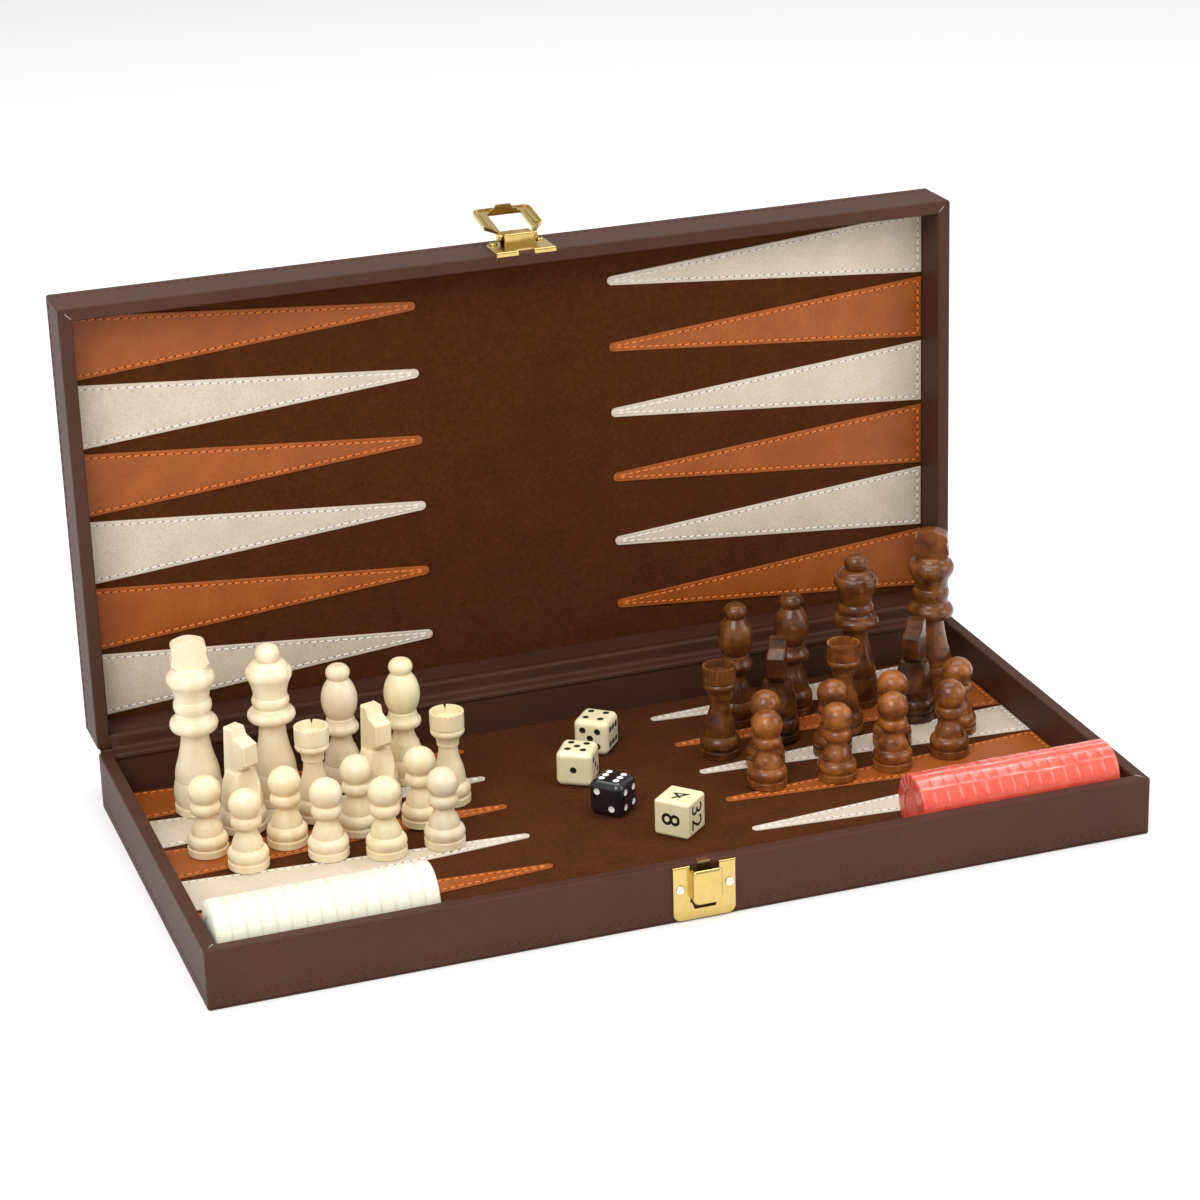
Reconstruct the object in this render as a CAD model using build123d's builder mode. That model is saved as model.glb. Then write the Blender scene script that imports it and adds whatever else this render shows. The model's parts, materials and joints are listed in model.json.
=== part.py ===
"""Folding backgammon and chess case, standing open, with its men, dice and two rolls of checkers.

Millimetres, +Z up. The origin is the centre of the base's bottom face: +X runs along the case and
+Y runs back to the hinge. Both halves are trays made by the same functions, each on its own plane:
the tray's plane is its outer face, and its normal points from there to the rim.
"""
from build123d import *
from math import cos, radians, sin
import os

os.makedirs("parts", exist_ok=True)

# Case: each half, outside sizes
LENGTH = 380.0
WIDTH = 186.0
HEIGHT = 24.0
WALL = 5.5
CORNER = 1.2
RIM_ROUND = 0.8
# Layers of a tray
SKIN = 0.6
PANEL = 6.0
PANEL_LIP = 1.0
LINING = 1.0
LEATHER = 0.6
FLOOR = PANEL + LINING
LEATHER_TOP = FLOOR + LEATHER
MITRE_GAP = 0.1
# Playing board on the outer faces: four rows of eight squares on each half
SQUARE = 44.0
SQUARE_GAP = 0.6
SQUARE_THICK = 0.6
BOARD_TO_SPINE = 2.0
# Sewn leather points: six from each end wall
POINTS = 6
POINT_PITCH = 28.7
POINT_WIDTH = 27.0
POINT_END = LENGTH / 2 - WALL - 0.2
POINT_TIP = 41.5
TIP_RADIUS = 2.0
# Hinge axis, beyond the rims and the spine walls
HINGE_GAP = 0.4
HINGE_OUT = 0.3
STRIP = 0.3
OPEN_ANGLE = 91.0
# Catch and latch: stamped plates on the front walls
LATCH_X = 1.7
PLATE = 1.1
PLATE_WIDTH = 25.4
PLATE_CORNER = 3.2
METAL = 0.8
CATCH_TOP = 0.8
CATCH_BOTTOM = 23.3
POCKET_WIDTH = 11.9
POCKET_OUT = 5.0
POCKET_TOP = 1.8
POCKET_BOTTOM = 16.0
SLOT_BOTTOM = 18.9
TONGUE_WIDTH = 5.0
TONGUE_REACH = 2.2
TONGUE_THICK = 0.35
LATCH_DEEP = 16.5
LATCH_LIP = 0.3
NOTCH = 6.8
SCREW_SPACING = 19.8
SCREW_SHANK = 0.8
SCREW_HEAD = 1.75
SCREW_RISE = 0.8
SCREW_DEPTH = 3.2
CATCH_SCREW_DOWN = 9.8
LATCH_SCREW_DOWN = 13.4
KNUCKLE = (12.7, 7.0, 5.8)
PIVOT_DOWN = 12.2
PIVOT_OUT = 3.9
PIVOT_RADIUS = 1.1
LEVER_WIDTH = 24.9
LEVER_LONG = 22.3
LEVER_THICK = 1.1
LEVER_BAR = 5.3
LEVER_END_BAR = 4.3
# The lever's frame stands off the line of its pivot, towards the viewer of the open case
LEVER_OFFSET = 2.3
EAR_BARE = 1.4
LEVER_ANGLE = 10.0
# Checkers: two rolls of fifteen along X
CHECKERS = 15
CHECKER_RADIUS = 12.5
CHECKER_PITCH = 5.6
CHECKER_GAP = 0.06
FILM = 0.2
ROLL_Y = -72.8
ROLLS = {"light": -141.0, "red": 138.6}
# Nothing loose quite touches what it stands on
STAND_OFF = 0.03

BASE_TRAY = Plane.XY


def lid_tray(angle):
    """The lid's outer face at an opening angle: 0 is shut and 180 lies flat behind the base."""
    turn = radians(angle)
    up = Vector(0, -cos(turn), sin(turn))
    to_rim = Vector(0, -sin(turn), -cos(turn))
    hinge = Vector(0, WIDTH / 2 + HINGE_OUT, HEIGHT + HINGE_GAP)
    origin = hinge + up * (WIDTH / 2 + HINGE_OUT) - to_rim * (HEIGHT + HINGE_GAP)
    return Plane(origin=origin, x_dir=(1, 0, 0), z_dir=to_rim)


LID_TRAY = lid_tray(OPEN_ANGLE)
TRAYS = {"base": BASE_TRAY, "lid": LID_TRAY}
# The spine wall is on the +Y side of the base's plane and on the -Y side of the lid's
SPINE = {"base": 1, "lid": -1}
# A plane on each front wall, its origin on the rim, with Y up to the rim on the base
# and away from the rim on the lid
CATCH_FACE = Plane(origin=(LATCH_X, -WIDTH / 2, HEIGHT), x_dir=(1, 0, 0), z_dir=(0, -1, 0))
LATCH_FACE = Plane(
    origin=LID_TRAY.origin + LID_TRAY.y_dir * (WIDTH / 2) + LID_TRAY.z_dir * HEIGHT
    + Vector(LATCH_X, 0, 0),
    x_dir=(1, 0, 0),
    z_dir=LID_TRAY.y_dir,
)
SCREW_FACES = {"base": CATCH_FACE, "lid": LATCH_FACE}
SCREW_Y = {"base": -CATCH_SCREW_DOWN, "lid": LATCH_SCREW_DOWN}


def save(piece, name):
    """Label a finished piece and write it under its name."""
    piece.part.label = name
    export_step(piece.part, "parts/" + name + ".step")


def outermost(piece, plane):
    """The face of a piece that is parallel to a plane and furthest out along its normal."""
    return piece.faces().filter_by(plane).sort_by(Axis(plane.origin, plane.z_dir))[-1]


def screw_places(half):
    """Both screw centres on a front wall, in the plane of that wall."""
    return [(side * SCREW_SPACING / 2, SCREW_Y[half]) for side in (-1, 1)]


# ---------------------------------------------------------------- case halves


def wall_frame(half):
    """Four boards, mitred at the corners, with the screws' pilot holes."""
    tray = TRAYS[half]
    inside = WALL - SKIN
    with BuildPart() as frame:
        with BuildSketch(tray.offset(PANEL)):
            Rectangle(LENGTH - 2 * SKIN, WIDTH - 2 * SKIN)
            Rectangle(LENGTH - 2 * inside, WIDTH - 2 * inside, mode=Mode.SUBTRACT)
            for x in (-1, 1):
                for y in (-1, 1):
                    with Locations((x * (LENGTH - WALL) / 2, y * (WIDTH - WALL) / 2)):
                        Rectangle(4 * WALL, MITRE_GAP, rotation=45 * x * y, mode=Mode.SUBTRACT)
        extrude(amount=HEIGHT - SKIN - PANEL)
        with BuildSketch(SCREW_FACES[half]):
            with Locations(*screw_places(half)):
                Circle(SCREW_SHANK + 0.05)
        extrude(amount=-SCREW_DEPTH - 0.3, mode=Mode.SUBTRACT)
    return frame


def wall_cover(half):
    """Leatherette wrapped over the boards: outer faces, rim and inner faces."""
    tray = TRAYS[half]
    with BuildPart() as cover:
        with BuildSketch(tray.offset(PANEL_LIP)):
            RectangleRounded(LENGTH, WIDTH, CORNER)
            Rectangle(LENGTH - 2 * WALL, WIDTH - 2 * WALL, mode=Mode.SUBTRACT)
        extrude(amount=HEIGHT - PANEL_LIP)
        rim = cover.faces().sort_by(Axis(tray.origin, tray.z_dir))[-1]
        fillet(rim.edges(), RIM_ROUND)
        with BuildSketch(tray.offset(PANEL_LIP)):
            Rectangle(LENGTH - 2 * SKIN, WIDTH - 2 * SKIN)
        extrude(amount=PANEL - PANEL_LIP, mode=Mode.SUBTRACT)
        with BuildSketch(tray.offset(PANEL)):
            Rectangle(LENGTH - 2 * SKIN, WIDTH - 2 * SKIN)
            Rectangle(LENGTH - 2 * (WALL - SKIN), WIDTH - 2 * (WALL - SKIN), mode=Mode.SUBTRACT)
        extrude(amount=HEIGHT - SKIN - PANEL, mode=Mode.SUBTRACT)
        with BuildSketch(SCREW_FACES[half]):
            with Locations(*screw_places(half)):
                Circle(SCREW_SHANK + 0.05)
        extrude(amount=-2 * SKIN, mode=Mode.SUBTRACT)
    return cover


def square_places(half):
    """Centres of the sixteen light squares on a half's outer face."""
    middle = SPINE[half] * (WIDTH / 2 - BOARD_TO_SPINE - 2 * SQUARE)
    places = []
    for column in range(8):
        for row in range(4):
            if (column + row) % 2 == 0:
                places.append(((column - 3.5) * SQUARE, middle + (row - 1.5) * SQUARE))
    return places


def outer_panel(half):
    """Covered board that closes a tray, recessed for the light squares of the playing board."""
    tray = TRAYS[half]
    with BuildPart() as panel:
        with BuildSketch(tray):
            RectangleRounded(LENGTH, WIDTH, CORNER)
        extrude(amount=PANEL_LIP)
        outer = panel.faces().sort_by(Axis(tray.origin, tray.z_dir))[0]
        fillet(outer.edges(), PANEL_LIP * 0.7)
        with BuildSketch(tray.offset(PANEL_LIP)):
            Rectangle(LENGTH - 2 * SKIN, WIDTH - 2 * SKIN)
        extrude(amount=PANEL - PANEL_LIP)
        with BuildSketch(tray):
            with Locations(*square_places(half)):
                Rectangle(SQUARE - SQUARE_GAP, SQUARE - SQUARE_GAP)
        extrude(amount=SQUARE_THICK, mode=Mode.SUBTRACT)
    return panel


def board_squares(half):
    """Light leather squares let into the outer face."""
    with BuildPart() as squares:
        with BuildSketch(TRAYS[half]):
            with Locations(*square_places(half)):
                Rectangle(SQUARE - SQUARE_GAP, SQUARE - SQUARE_GAP)
        extrude(amount=SQUARE_THICK)
    return squares


def lining(half):
    """Suede sheet over the tray's floor."""
    with BuildPart() as sheet:
        with BuildSketch(TRAYS[half].offset(PANEL)):
            Rectangle(LENGTH - 2 * WALL, WIDTH - 2 * WALL)
        extrude(amount=LINING)
    return sheet


def point_rows(colour, half):
    """(side, y) of each point of one colour: the colours alternate, and swap at the other end."""
    rows = []
    for side in (-1, 1):
        for row in range(POINTS):
            y = SPINE[half] * ((POINTS - 1) / 2 - row) * POINT_PITCH
            even_is_tan = (side == -1) == (half == "base")
            tan = (row % 2 == 0) == even_is_tan
            if tan == (colour == "tan"):
                rows.append((side, y))
    return rows


def points(colour, half):
    """Long triangles of leather with rounded tips, sewn to the lining."""
    reach = POINT_TIP + TIP_RADIUS
    with BuildPart() as leather:
        with BuildSketch(TRAYS[half].offset(FLOOR)):
            for side, y in point_rows(colour, half):
                low = (side * POINT_END, y - POINT_WIDTH / 2)
                high = (side * POINT_END, y + POINT_WIDTH / 2)
                tip_low = (side * reach, y - TIP_RADIUS)
                tip_high = (side * reach, y + TIP_RADIUS)
                with BuildLine():
                    Polyline(tip_low, low, high, tip_high)
                    ThreePointArc(tip_high, (side * POINT_TIP, y), tip_low)
                make_face()
        extrude(amount=LEATHER)
    return leather


for half in TRAYS:
    save(wall_frame(half), half + "_wall_frame")
    save(wall_cover(half), half + "_wall_cover")
    save(outer_panel(half), half + "_outer_panel")
    save(board_squares(half), half + "_board_squares")
    save(lining(half), half + "_lining")
    save(points("tan", half), half + "_tan_points")
    save(points("cream", half), half + "_cream_points")


# ---------------------------------------------------------------- hinge


def hinge_strip():
    """Leatherette strip glued along the base's spine rim, below the fold that joins the lid."""
    flat = WALL - 2 * RIM_ROUND
    with BuildPart() as strip:
        with BuildSketch(BASE_TRAY.offset(HEIGHT)):
            with Locations((0, (WIDTH - WALL) / 2)):
                Rectangle(LENGTH - 2 * CORNER, flat)
        extrude(amount=STRIP)
    return strip


save(hinge_strip(), "hinge_strip")


# ---------------------------------------------------------------- catch and latch


def screws(half):
    """Two small cross-slotted screws through a plate into a front wall."""
    face = SCREW_FACES[half]
    slot_long, slot_wide, slot_deep = 2.4, 0.45, 0.45
    with BuildPart() as pair:
        with BuildSketch(face.offset(-SCREW_DEPTH)):
            with Locations(*screw_places(half)):
                Circle(SCREW_SHANK)
        extrude(amount=SCREW_DEPTH + PLATE)
        with BuildSketch(face.offset(PLATE)):
            with Locations(*screw_places(half)):
                Circle(SCREW_HEAD)
        extrude(amount=SCREW_RISE)
        rims = pair.edges().filter_by(GeomType.CIRCLE).sort_by(Axis(face.origin, face.z_dir))[-2:]
        fillet(rims, 0.5)
        with BuildSketch(face.offset(PLATE + SCREW_RISE - slot_deep)):
            with Locations(*screw_places(half)):
                Rectangle(slot_long, slot_wide, rotation=30)
                Rectangle(slot_long, slot_wide, rotation=120)
        extrude(amount=SCREW_RISE, mode=Mode.SUBTRACT)
    return pair


def soften(piece, face, radius):
    """Round off the outer edge of a stamped plate, as the press leaves it."""
    fillet(outermost(piece, face).outer_wire().edges(), radius)


def catch_blank():
    """Plate with rounded lower corners, cut away for the pocket and slotted below it."""
    slot_top, slot_low = POCKET_WIDTH / 2 - 0.6, POCKET_WIDTH / 2 - 1.7
    with BuildPart() as blank:
        with BuildSketch(CATCH_FACE) as shape:
            with Locations((0, -(CATCH_TOP + CATCH_BOTTOM) / 2)):
                Rectangle(PLATE_WIDTH, CATCH_BOTTOM - CATCH_TOP)
            fillet(shape.vertices().group_by(Axis.Y)[0], PLATE_CORNER)
        extrude(amount=PLATE)
        soften(blank, CATCH_FACE, 0.7)
        with BuildSketch(CATCH_FACE):
            with Locations((0, -POCKET_BOTTOM / 2)):
                Rectangle(POCKET_WIDTH, POCKET_BOTTOM)
            with BuildLine():
                Polyline(
                    (-slot_top, -POCKET_BOTTOM), (-slot_low, -SLOT_BOTTOM),
                    (slot_low, -SLOT_BOTTOM), (slot_top, -POCKET_BOTTOM), close=True,
                )
            make_face()
            with Locations(*screw_places("base")):
                Circle(SCREW_SHANK + 0.05)
        extrude(amount=PLATE, mode=Mode.SUBTRACT)
    return blank


def catch_pocket():
    """Raised hollow that stands out of the plate, open at its top and towards the wall."""
    deep = POCKET_BOTTOM - POCKET_TOP
    with BuildPart() as pocket:
        with BuildSketch(CATCH_FACE) as shape:
            with Locations((0, -POCKET_TOP - deep / 2)):
                Rectangle(POCKET_WIDTH, deep)
            fillet(shape.vertices().group_by(Axis.Y)[0], 2.8)
            fillet(shape.vertices().group_by(Axis.Y)[-1], 1.4)
        extrude(amount=POCKET_OUT)
        fillet(outermost(pocket, CATCH_FACE).edges(), 1.2)
        with BuildSketch(CATCH_FACE) as hollow:
            with Locations((0, -POCKET_TOP - (deep - METAL) / 2 + 1)):
                Rectangle(POCKET_WIDTH - 2 * METAL, deep - METAL + 2)
            fillet(hollow.vertices().group_by(Axis.Y)[0], 2.0)
        extrude(amount=POCKET_OUT - METAL, mode=Mode.SUBTRACT)
    return pocket


def catch_plate():
    """Stamped plate with its pocket, and a tongue from behind it folded over the rim."""
    strap_top, strap_bottom = -6.0, -8.0
    with BuildPart() as catch:
        add(catch_blank().part)
        add(catch_pocket().part)
        with BuildSketch(CATCH_FACE):
            with Locations((0, (strap_top + strap_bottom) / 2)):
                Rectangle(POCKET_WIDTH + 1.0, strap_top - strap_bottom)
            with Locations((0, (strap_bottom + TONGUE_THICK) / 2)):
                Rectangle(TONGUE_WIDTH, TONGUE_THICK - strap_bottom)
        extrude(amount=TONGUE_THICK)
        with BuildSketch(CATCH_FACE.offset(-TONGUE_REACH)):
            with Locations((0, TONGUE_THICK / 2)):
                Rectangle(TONGUE_WIDTH, TONGUE_THICK)
        extrude(amount=TONGUE_REACH)
    return catch


def latch_plate():
    """Stamped plate with a lip over the rim and a folded knuckle that the lever's pivot turns in."""
    knuckle_width, knuckle_deep, knuckle_out = KNUCKLE
    lip_down = RIM_ROUND
    with BuildPart() as latch:
        with BuildSketch(LATCH_FACE) as blank:
            with Locations((0, (LATCH_DEEP - LATCH_LIP) / 2)):
                Rectangle(PLATE_WIDTH, LATCH_DEEP + LATCH_LIP)
            fillet(blank.vertices().group_by(Axis.Y)[-1], PLATE_CORNER)
        extrude(amount=PLATE)
        soften(latch, LATCH_FACE, 0.7)
        with BuildSketch(LATCH_FACE.offset(-lip_down)):
            with Locations((0, -LATCH_LIP / 2)):
                Rectangle(PLATE_WIDTH, LATCH_LIP)
        extrude(amount=lip_down)
        with BuildSketch(LATCH_FACE.offset(-lip_down)):
            Rectangle(NOTCH, 4.4)
            with Locations(*screw_places("lid")):
                Circle(SCREW_SHANK + 0.05)
        extrude(amount=lip_down + PLATE, mode=Mode.SUBTRACT)
        with BuildSketch(LATCH_FACE):
            with Locations((0, PIVOT_DOWN)):
                Rectangle(knuckle_width, knuckle_deep)
        extrude(amount=knuckle_out)
        fillet(outermost(latch, LATCH_FACE).edges(), 0.7)
        with BuildSketch(LATCH_FACE.offset(PLATE)):
            with Locations((0, PIVOT_DOWN)):
                Rectangle(knuckle_width + 2, knuckle_deep - 2 * METAL)
        extrude(amount=knuckle_out - METAL - PLATE, mode=Mode.SUBTRACT)
    return latch


def lever_outline(plane, inset):
    """The lever's frame without its window, tapered to the pivot end."""
    half = LEVER_WIDTH / 2 - inset
    far = LEVER_LONG - inset
    ear, ear_start, ear_end = 8.3 - inset, 4.8, -0.3
    with BuildSketch(plane) as shape:
        with BuildLine():
            Polyline((-ear, ear_end), (ear, ear_end), (half, ear_start), (half, far),
                     (-half, far), (-half, ear_start), close=True)
        make_face()
        fillet(shape.vertices().group_by(Axis.Y)[-1], 3.0 - inset)
    return shape.sketch


def latch_lever():
    """Pressed frame with a raised edge and ribs, on two arms, with a bent tab at its far end."""
    turn = radians(LEVER_ANGLE)
    pivot = LATCH_FACE.origin + LATCH_FACE.y_dir * PIVOT_DOWN + LATCH_FACE.z_dir * PIVOT_OUT
    along = LATCH_FACE.y_dir * cos(turn) + LATCH_FACE.z_dir * sin(turn)
    out = Vector(1, 0, 0).cross(along)
    face = Plane(origin=pivot + out * LEVER_OFFSET, x_dir=(1, 0, 0), z_dir=out)
    window = (LEVER_WIDTH - 2 * LEVER_BAR, LEVER_LONG - LEVER_END_BAR + 2)
    window_place = (0, LEVER_LONG - LEVER_END_BAR - window[1] / 2)
    edge = 0.7
    arm = 1.3
    top = face.offset(LEVER_THICK / 2)
    with BuildPart() as lever:
        extrude(lever_outline(face.offset(-LEVER_THICK / 2), 0), amount=LEVER_THICK + 0.6)
        extrude(lever_outline(top, edge), amount=0.6, mode=Mode.SUBTRACT)
        # The ears have no raised edge, so that they clear the plate when the lever swings over
        with BuildSketch(top):
            with Locations((0, EAR_BARE - LEVER_LONG / 2)):
                Rectangle(LEVER_WIDTH, LEVER_LONG)
        extrude(amount=0.6, mode=Mode.SUBTRACT)
        with BuildSketch(top):
            for side in (-1, 1):
                with Locations((side * (LEVER_WIDTH - LEVER_BAR) / 2, LEVER_LONG / 2)):
                    Rectangle(1.2, LEVER_LONG - 9)
        extrude(amount=0.5)
        with BuildSketch(face.offset(-LEVER_THICK)):
            with Locations(window_place):
                Rectangle(*window)
        extrude(amount=3 * LEVER_THICK, mode=Mode.SUBTRACT)
        with BuildSketch(Plane(origin=pivot, x_dir=along, z_dir=(1, 0, 0))):
            Circle(PIVOT_RADIUS)
        extrude(amount=window[0] / 2 + arm / 2, both=True)
        for side in (-1, 1):
            inner = side * window[0] / 2
            with BuildSketch(Plane(origin=pivot + Vector(inner, 0, 0), x_dir=along, z_dir=(side, 0, 0))):
                Circle(PIVOT_RADIUS + 0.5)
                with BuildLine():
                    Polyline((-0.6, 0), (1.6, 0), (5.5, side * LEVER_OFFSET),
                             (-0.6, side * LEVER_OFFSET), close=True)
                make_face()
            extrude(amount=arm)
        tab_plane = Plane(
            origin=face.origin + along * (LEVER_LONG - LEVER_END_BAR) + out * (LEVER_THICK / 2),
            x_dir=(1, 0, 0),
            z_dir=along,
        )
        with BuildSketch(tab_plane):
            with BuildLine():
                Polyline((-6.0, 0.2), (6.0, 0.2), (6.0, -1.0), (4.0, -1.7), (3.1, -3.4),
                         (-3.1, -3.4), (-4.0, -1.7), (-6.0, -1.0), close=True)
            make_face()
        extrude(amount=0.9)
    return lever


save(catch_plate(), "catch_plate")
save(screws("base"), "catch_screws")
save(latch_plate(), "latch_plate")
save(screws("lid"), "latch_screws")
save(latch_lever(), "latch_lever")


# ---------------------------------------------------------------- chessmen

# Turned outlines, from the foot up: a line to a point, or an arc through one point to another,
# as (radius, height)
FOOT_RIM = 0.5
# Flat left at the very top of a ball, where the lathe parts it off
CROWN_FLAT = 0.5


def foot(radius, bulge, shoulder):
    """Disc, groove and bulge that every man stands on: the bulge's middle height and its top."""
    return [
        [(radius - FOOT_RIM, 0)],
        [(radius - 0.15, 0.15), (radius, FOOT_RIM)],
        [(radius, 2.7)],
        [(radius - 0.1, 3.1), (radius - 0.6, 3.2)],
        [(radius - 0.6, 3.6)],
        [(radius + 0.05, bulge), shoulder],
    ]


PAWN = foot(8.1, 5.7, (6.7, 8.3)) + [
    [(6.3, 8.6)],
    [(5.8, 11.0), (4.8, 13.2)],
    [(4.1, 15.0), (3.9, 17.3)],
    [(5.4, 17.3)],
    [(6.1, 19.4), (5.3, 21.4)],
    [(4.4, 21.8)],
    [(6.4, 27.0), (CROWN_FLAT, 32.5)],
    [(0, 32.5)],
]
ROOK = foot(8.4, 5.8, (6.9, 8.9)) + [
    [(6.6, 9.2)],
    [(6.3, 12.9), (5.0, 17.7)],
    [(4.1, 21.4), (3.95, 25.3)],
    [(4.5, 25.3)],
    [(4.6, 27.0), (6.3, 29.8)],
    [(6.95, 31.1), (6.4, 32.4)],
    [(6.4, 32.9)],
    [(6.95, 33.1)],
    [(6.95, 39.4)],
    [(5.8, 39.4)],
    [(5.3, 36.2)],
    [(0, 35.8)],
]
KNIGHT = foot(9.3, 5.9, (8.2, 9.3)) + [
    [(7.9, 9.6)],
    [(8.3, 12.0), (7.9, 15.0)],
    [(7.2, 20.4), (5.8, 25.2)],
    [(0, 26.4)],
]
BISHOP = foot(8.8, 6.2, (7.3, 10.6)) + [
    [(7.4, 11.0)],
    [(6.9, 13.9), (5.9, 17.0)],
    [(4.5, 20.4), (4.1, 24.0)],
    [(6.9, 24.4)],
    [(7.45, 26.0), (6.7, 27.6)],
    [(6.1, 28.6), (5.7, 30.2)],
    [(5.2, 30.6)],
    [(7.4, 38.6), (4.2, 47.0)],
    [(3.8, 47.2)],
    [(4.95, 49.8), (CROWN_FLAT, 53.0)],
    [(0, 53.0)],
]
QUEEN = foot(9.5, 7.2, (8.5, 13.4)) + [
    [(8.7, 13.8)],
    [(8.3, 17.2), (7.3, 21.0)],
    [(5.9, 27.4), (5.2, 34.8)],
    [(8.9, 35.6)],
    [(9.7, 38.0), (8.2, 39.9)],
    [(6.9, 40.4), (6.4, 41.5)],
    [(7.2, 42.0)],
    [(7.6, 43.8), (7.0, 45.6)],
    [(6.8, 45.9)],
    [(7.3, 49.6), (8.7, 53.4)],
    [(9.35, 55.8), (8.8, 57.6)],
    [(8.0, 58.2)],
    [(6.8, 60.0), (3.7, 60.9)],
    [(4.9, 64.2), (CROWN_FLAT, 67.6)],
    [(0, 67.6)],
]
KING = foot(10.0, 7.5, (8.9, 14.2)) + [
    [(9.15, 14.6)],
    [(8.8, 17.9), (7.8, 21.6)],
    [(6.3, 27.8), (5.3, 34.6)],
    [(8.9, 35.4)],
    [(9.7, 38.0), (8.4, 40.4)],
    [(7.2, 41.6), (6.9, 43.0)],
    [(7.3, 43.6)],
    [(7.75, 45.7), (7.2, 48.1)],
    [(6.9, 48.5)],
    [(7.4, 51.7), (8.9, 54.8)],
    [(9.7, 57.6), (8.6, 60.0)],
    [(7.7, 60.6)],
    [(6.9, 62.0), (5.6, 62.8)],
    [(0, 62.8)],
]
# One side of the king's squared head, from the neck up: a nick, the cheek, and the edge of the crown
KING_CHEEK = [(6.2, 62.4), (6.2, 63.4), (7.5, 64.2), (7.5, 65.0), (6.9, 66.9), (6.5, 69.2), (6.9, 69.7)]
KING_CROWN = [(6.5, 71.8), (4.6, 72.9), (0, 73.9)]
KING_THICK = 8.4


# The knight's head in profile, looking along -X: the nose, brow, ear and mane, down to the throat
HEAD_THICK = 7.4
KNIGHT_HEAD = [(-2.6, 26.8), (-5.6, 27.6), (-7.2, 29.4), (-7.2, 37.6), (-1.4, 40.1),
               (-0.2, 43.5), (4.6, 43.5), (5.4, 31.0), (6.4, 17.0), (-4.6, 17.0)]
KNIGHT_THROAT = (-3.2, 22.4)
# Scoop in its chest, from the chin to low on the body
KNIGHT_SCOOP = [(-3.4, 28.0), (-5.3, 20.0), (-8.6, 12.6)]


def upright(seat):
    """Plane standing on a seat, through its origin, facing the seat's -Y."""
    return Plane(origin=seat.origin, x_dir=seat.x_dir, z_dir=-seat.y_dir)


def sideways(seat):
    """Plane standing on a seat, through its origin, facing the seat's +X."""
    return Plane(origin=seat.origin, x_dir=seat.y_dir, z_dir=seat.x_dir)


def turned(seat, outline):
    """A man turned on the normal of its seat, closed along that axis."""
    with BuildPart() as man:
        with BuildSketch(upright(seat)):
            with BuildLine():
                here = (0, 0)
                for step in outline:
                    if len(step) == 1:
                        Line(here, step[0])
                    else:
                        ThreePointArc(here, *step)
                    here = step[-1]
                Line(here, (0, 0))
            make_face()
        revolve(axis=Axis(seat.origin, seat.z_dir))
    return man


def pawn(seat):
    return turned(seat, PAWN)


def bishop(seat):
    return turned(seat, BISHOP)


def rook(seat):
    """Hollow tower with four V-shaped cuts in its rim."""
    man = turned(seat, ROOK)
    with BuildPart() as tower:
        add(man.part)
        for turn in (45, 135):
            side = seat.rotated((0, 0, turn))
            with BuildSketch(upright(side).offset(-9)):
                with BuildLine():
                    Polyline((-0.6, 39.6), (0.6, 39.6), (0, 37.6), close=True)
                make_face()
            extrude(amount=18, mode=Mode.SUBTRACT)
    return tower


def queen(seat):
    """Crown with two scooped notches, opposite each other."""
    man = turned(seat, QUEEN)
    with BuildPart() as crowned:
        add(man.part)
        with BuildSketch(seat.offset(52.2)):
            with PolarLocations(10.2, 2):
                Circle(1.8)
        extrude(amount=6.5, mode=Mode.SUBTRACT)
    return crowned


def king(seat):
    """Square-shouldered head: a slab with a rounded top and a nick on each side."""
    man = turned(seat, KING)
    edge_middle, edge, top = KING_CROWN
    mirrored = [(-x, z) for x, z in reversed(KING_CHEEK)]
    with BuildPart() as crowned:
        add(man.part)
        with BuildSketch(upright(seat).offset(-KING_THICK / 2)):
            with BuildLine():
                Polyline(*mirrored, *KING_CHEEK)
                ThreePointArc(KING_CHEEK[-1], edge_middle, edge)
                ThreePointArc(edge, top, (-edge[0], edge[1]))
                ThreePointArc((-edge[0], edge[1]), (-edge_middle[0], edge_middle[1]), mirrored[0])
            make_face()
        extrude(amount=KING_THICK)
    return crowned


def knight(seat):
    """Horse's head cut from a slab, looking along the seat's -Y, on a turned body scooped at the chest."""
    profile = sideways(seat).offset(-HEAD_THICK / 2)
    chin, chest = KNIGHT_SCOOP[0], KNIGHT_SCOOP[-1]
    with BuildPart() as head:
        with BuildSketch(profile):
            with BuildLine():
                Polyline(*KNIGHT_HEAD)
                ThreePointArc(KNIGHT_HEAD[-1], KNIGHT_THROAT, KNIGHT_HEAD[0])
            make_face()
        extrude(amount=HEAD_THICK)
        cheeks = head.faces().filter_by(sideways(seat))
        chamfer(cheeks.edges(), 0.6)
    with BuildPart() as horse:
        add(turned(seat, KNIGHT).part)
        with BuildSketch(sideways(seat).offset(-10)):
            with BuildLine():
                ThreePointArc(*KNIGHT_SCOOP)
                Polyline(chest, (-12, chest[1]), (-12, chin[1]), chin)
            make_face()
        extrude(amount=20, mode=Mode.SUBTRACT)
        add(head.part)
    return horse


MAN_RADIUS = {pawn: 8.1, rook: 8.4, knight: 9.3, bishop: 8.8, queen: 9.5, king: 10.0}
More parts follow.
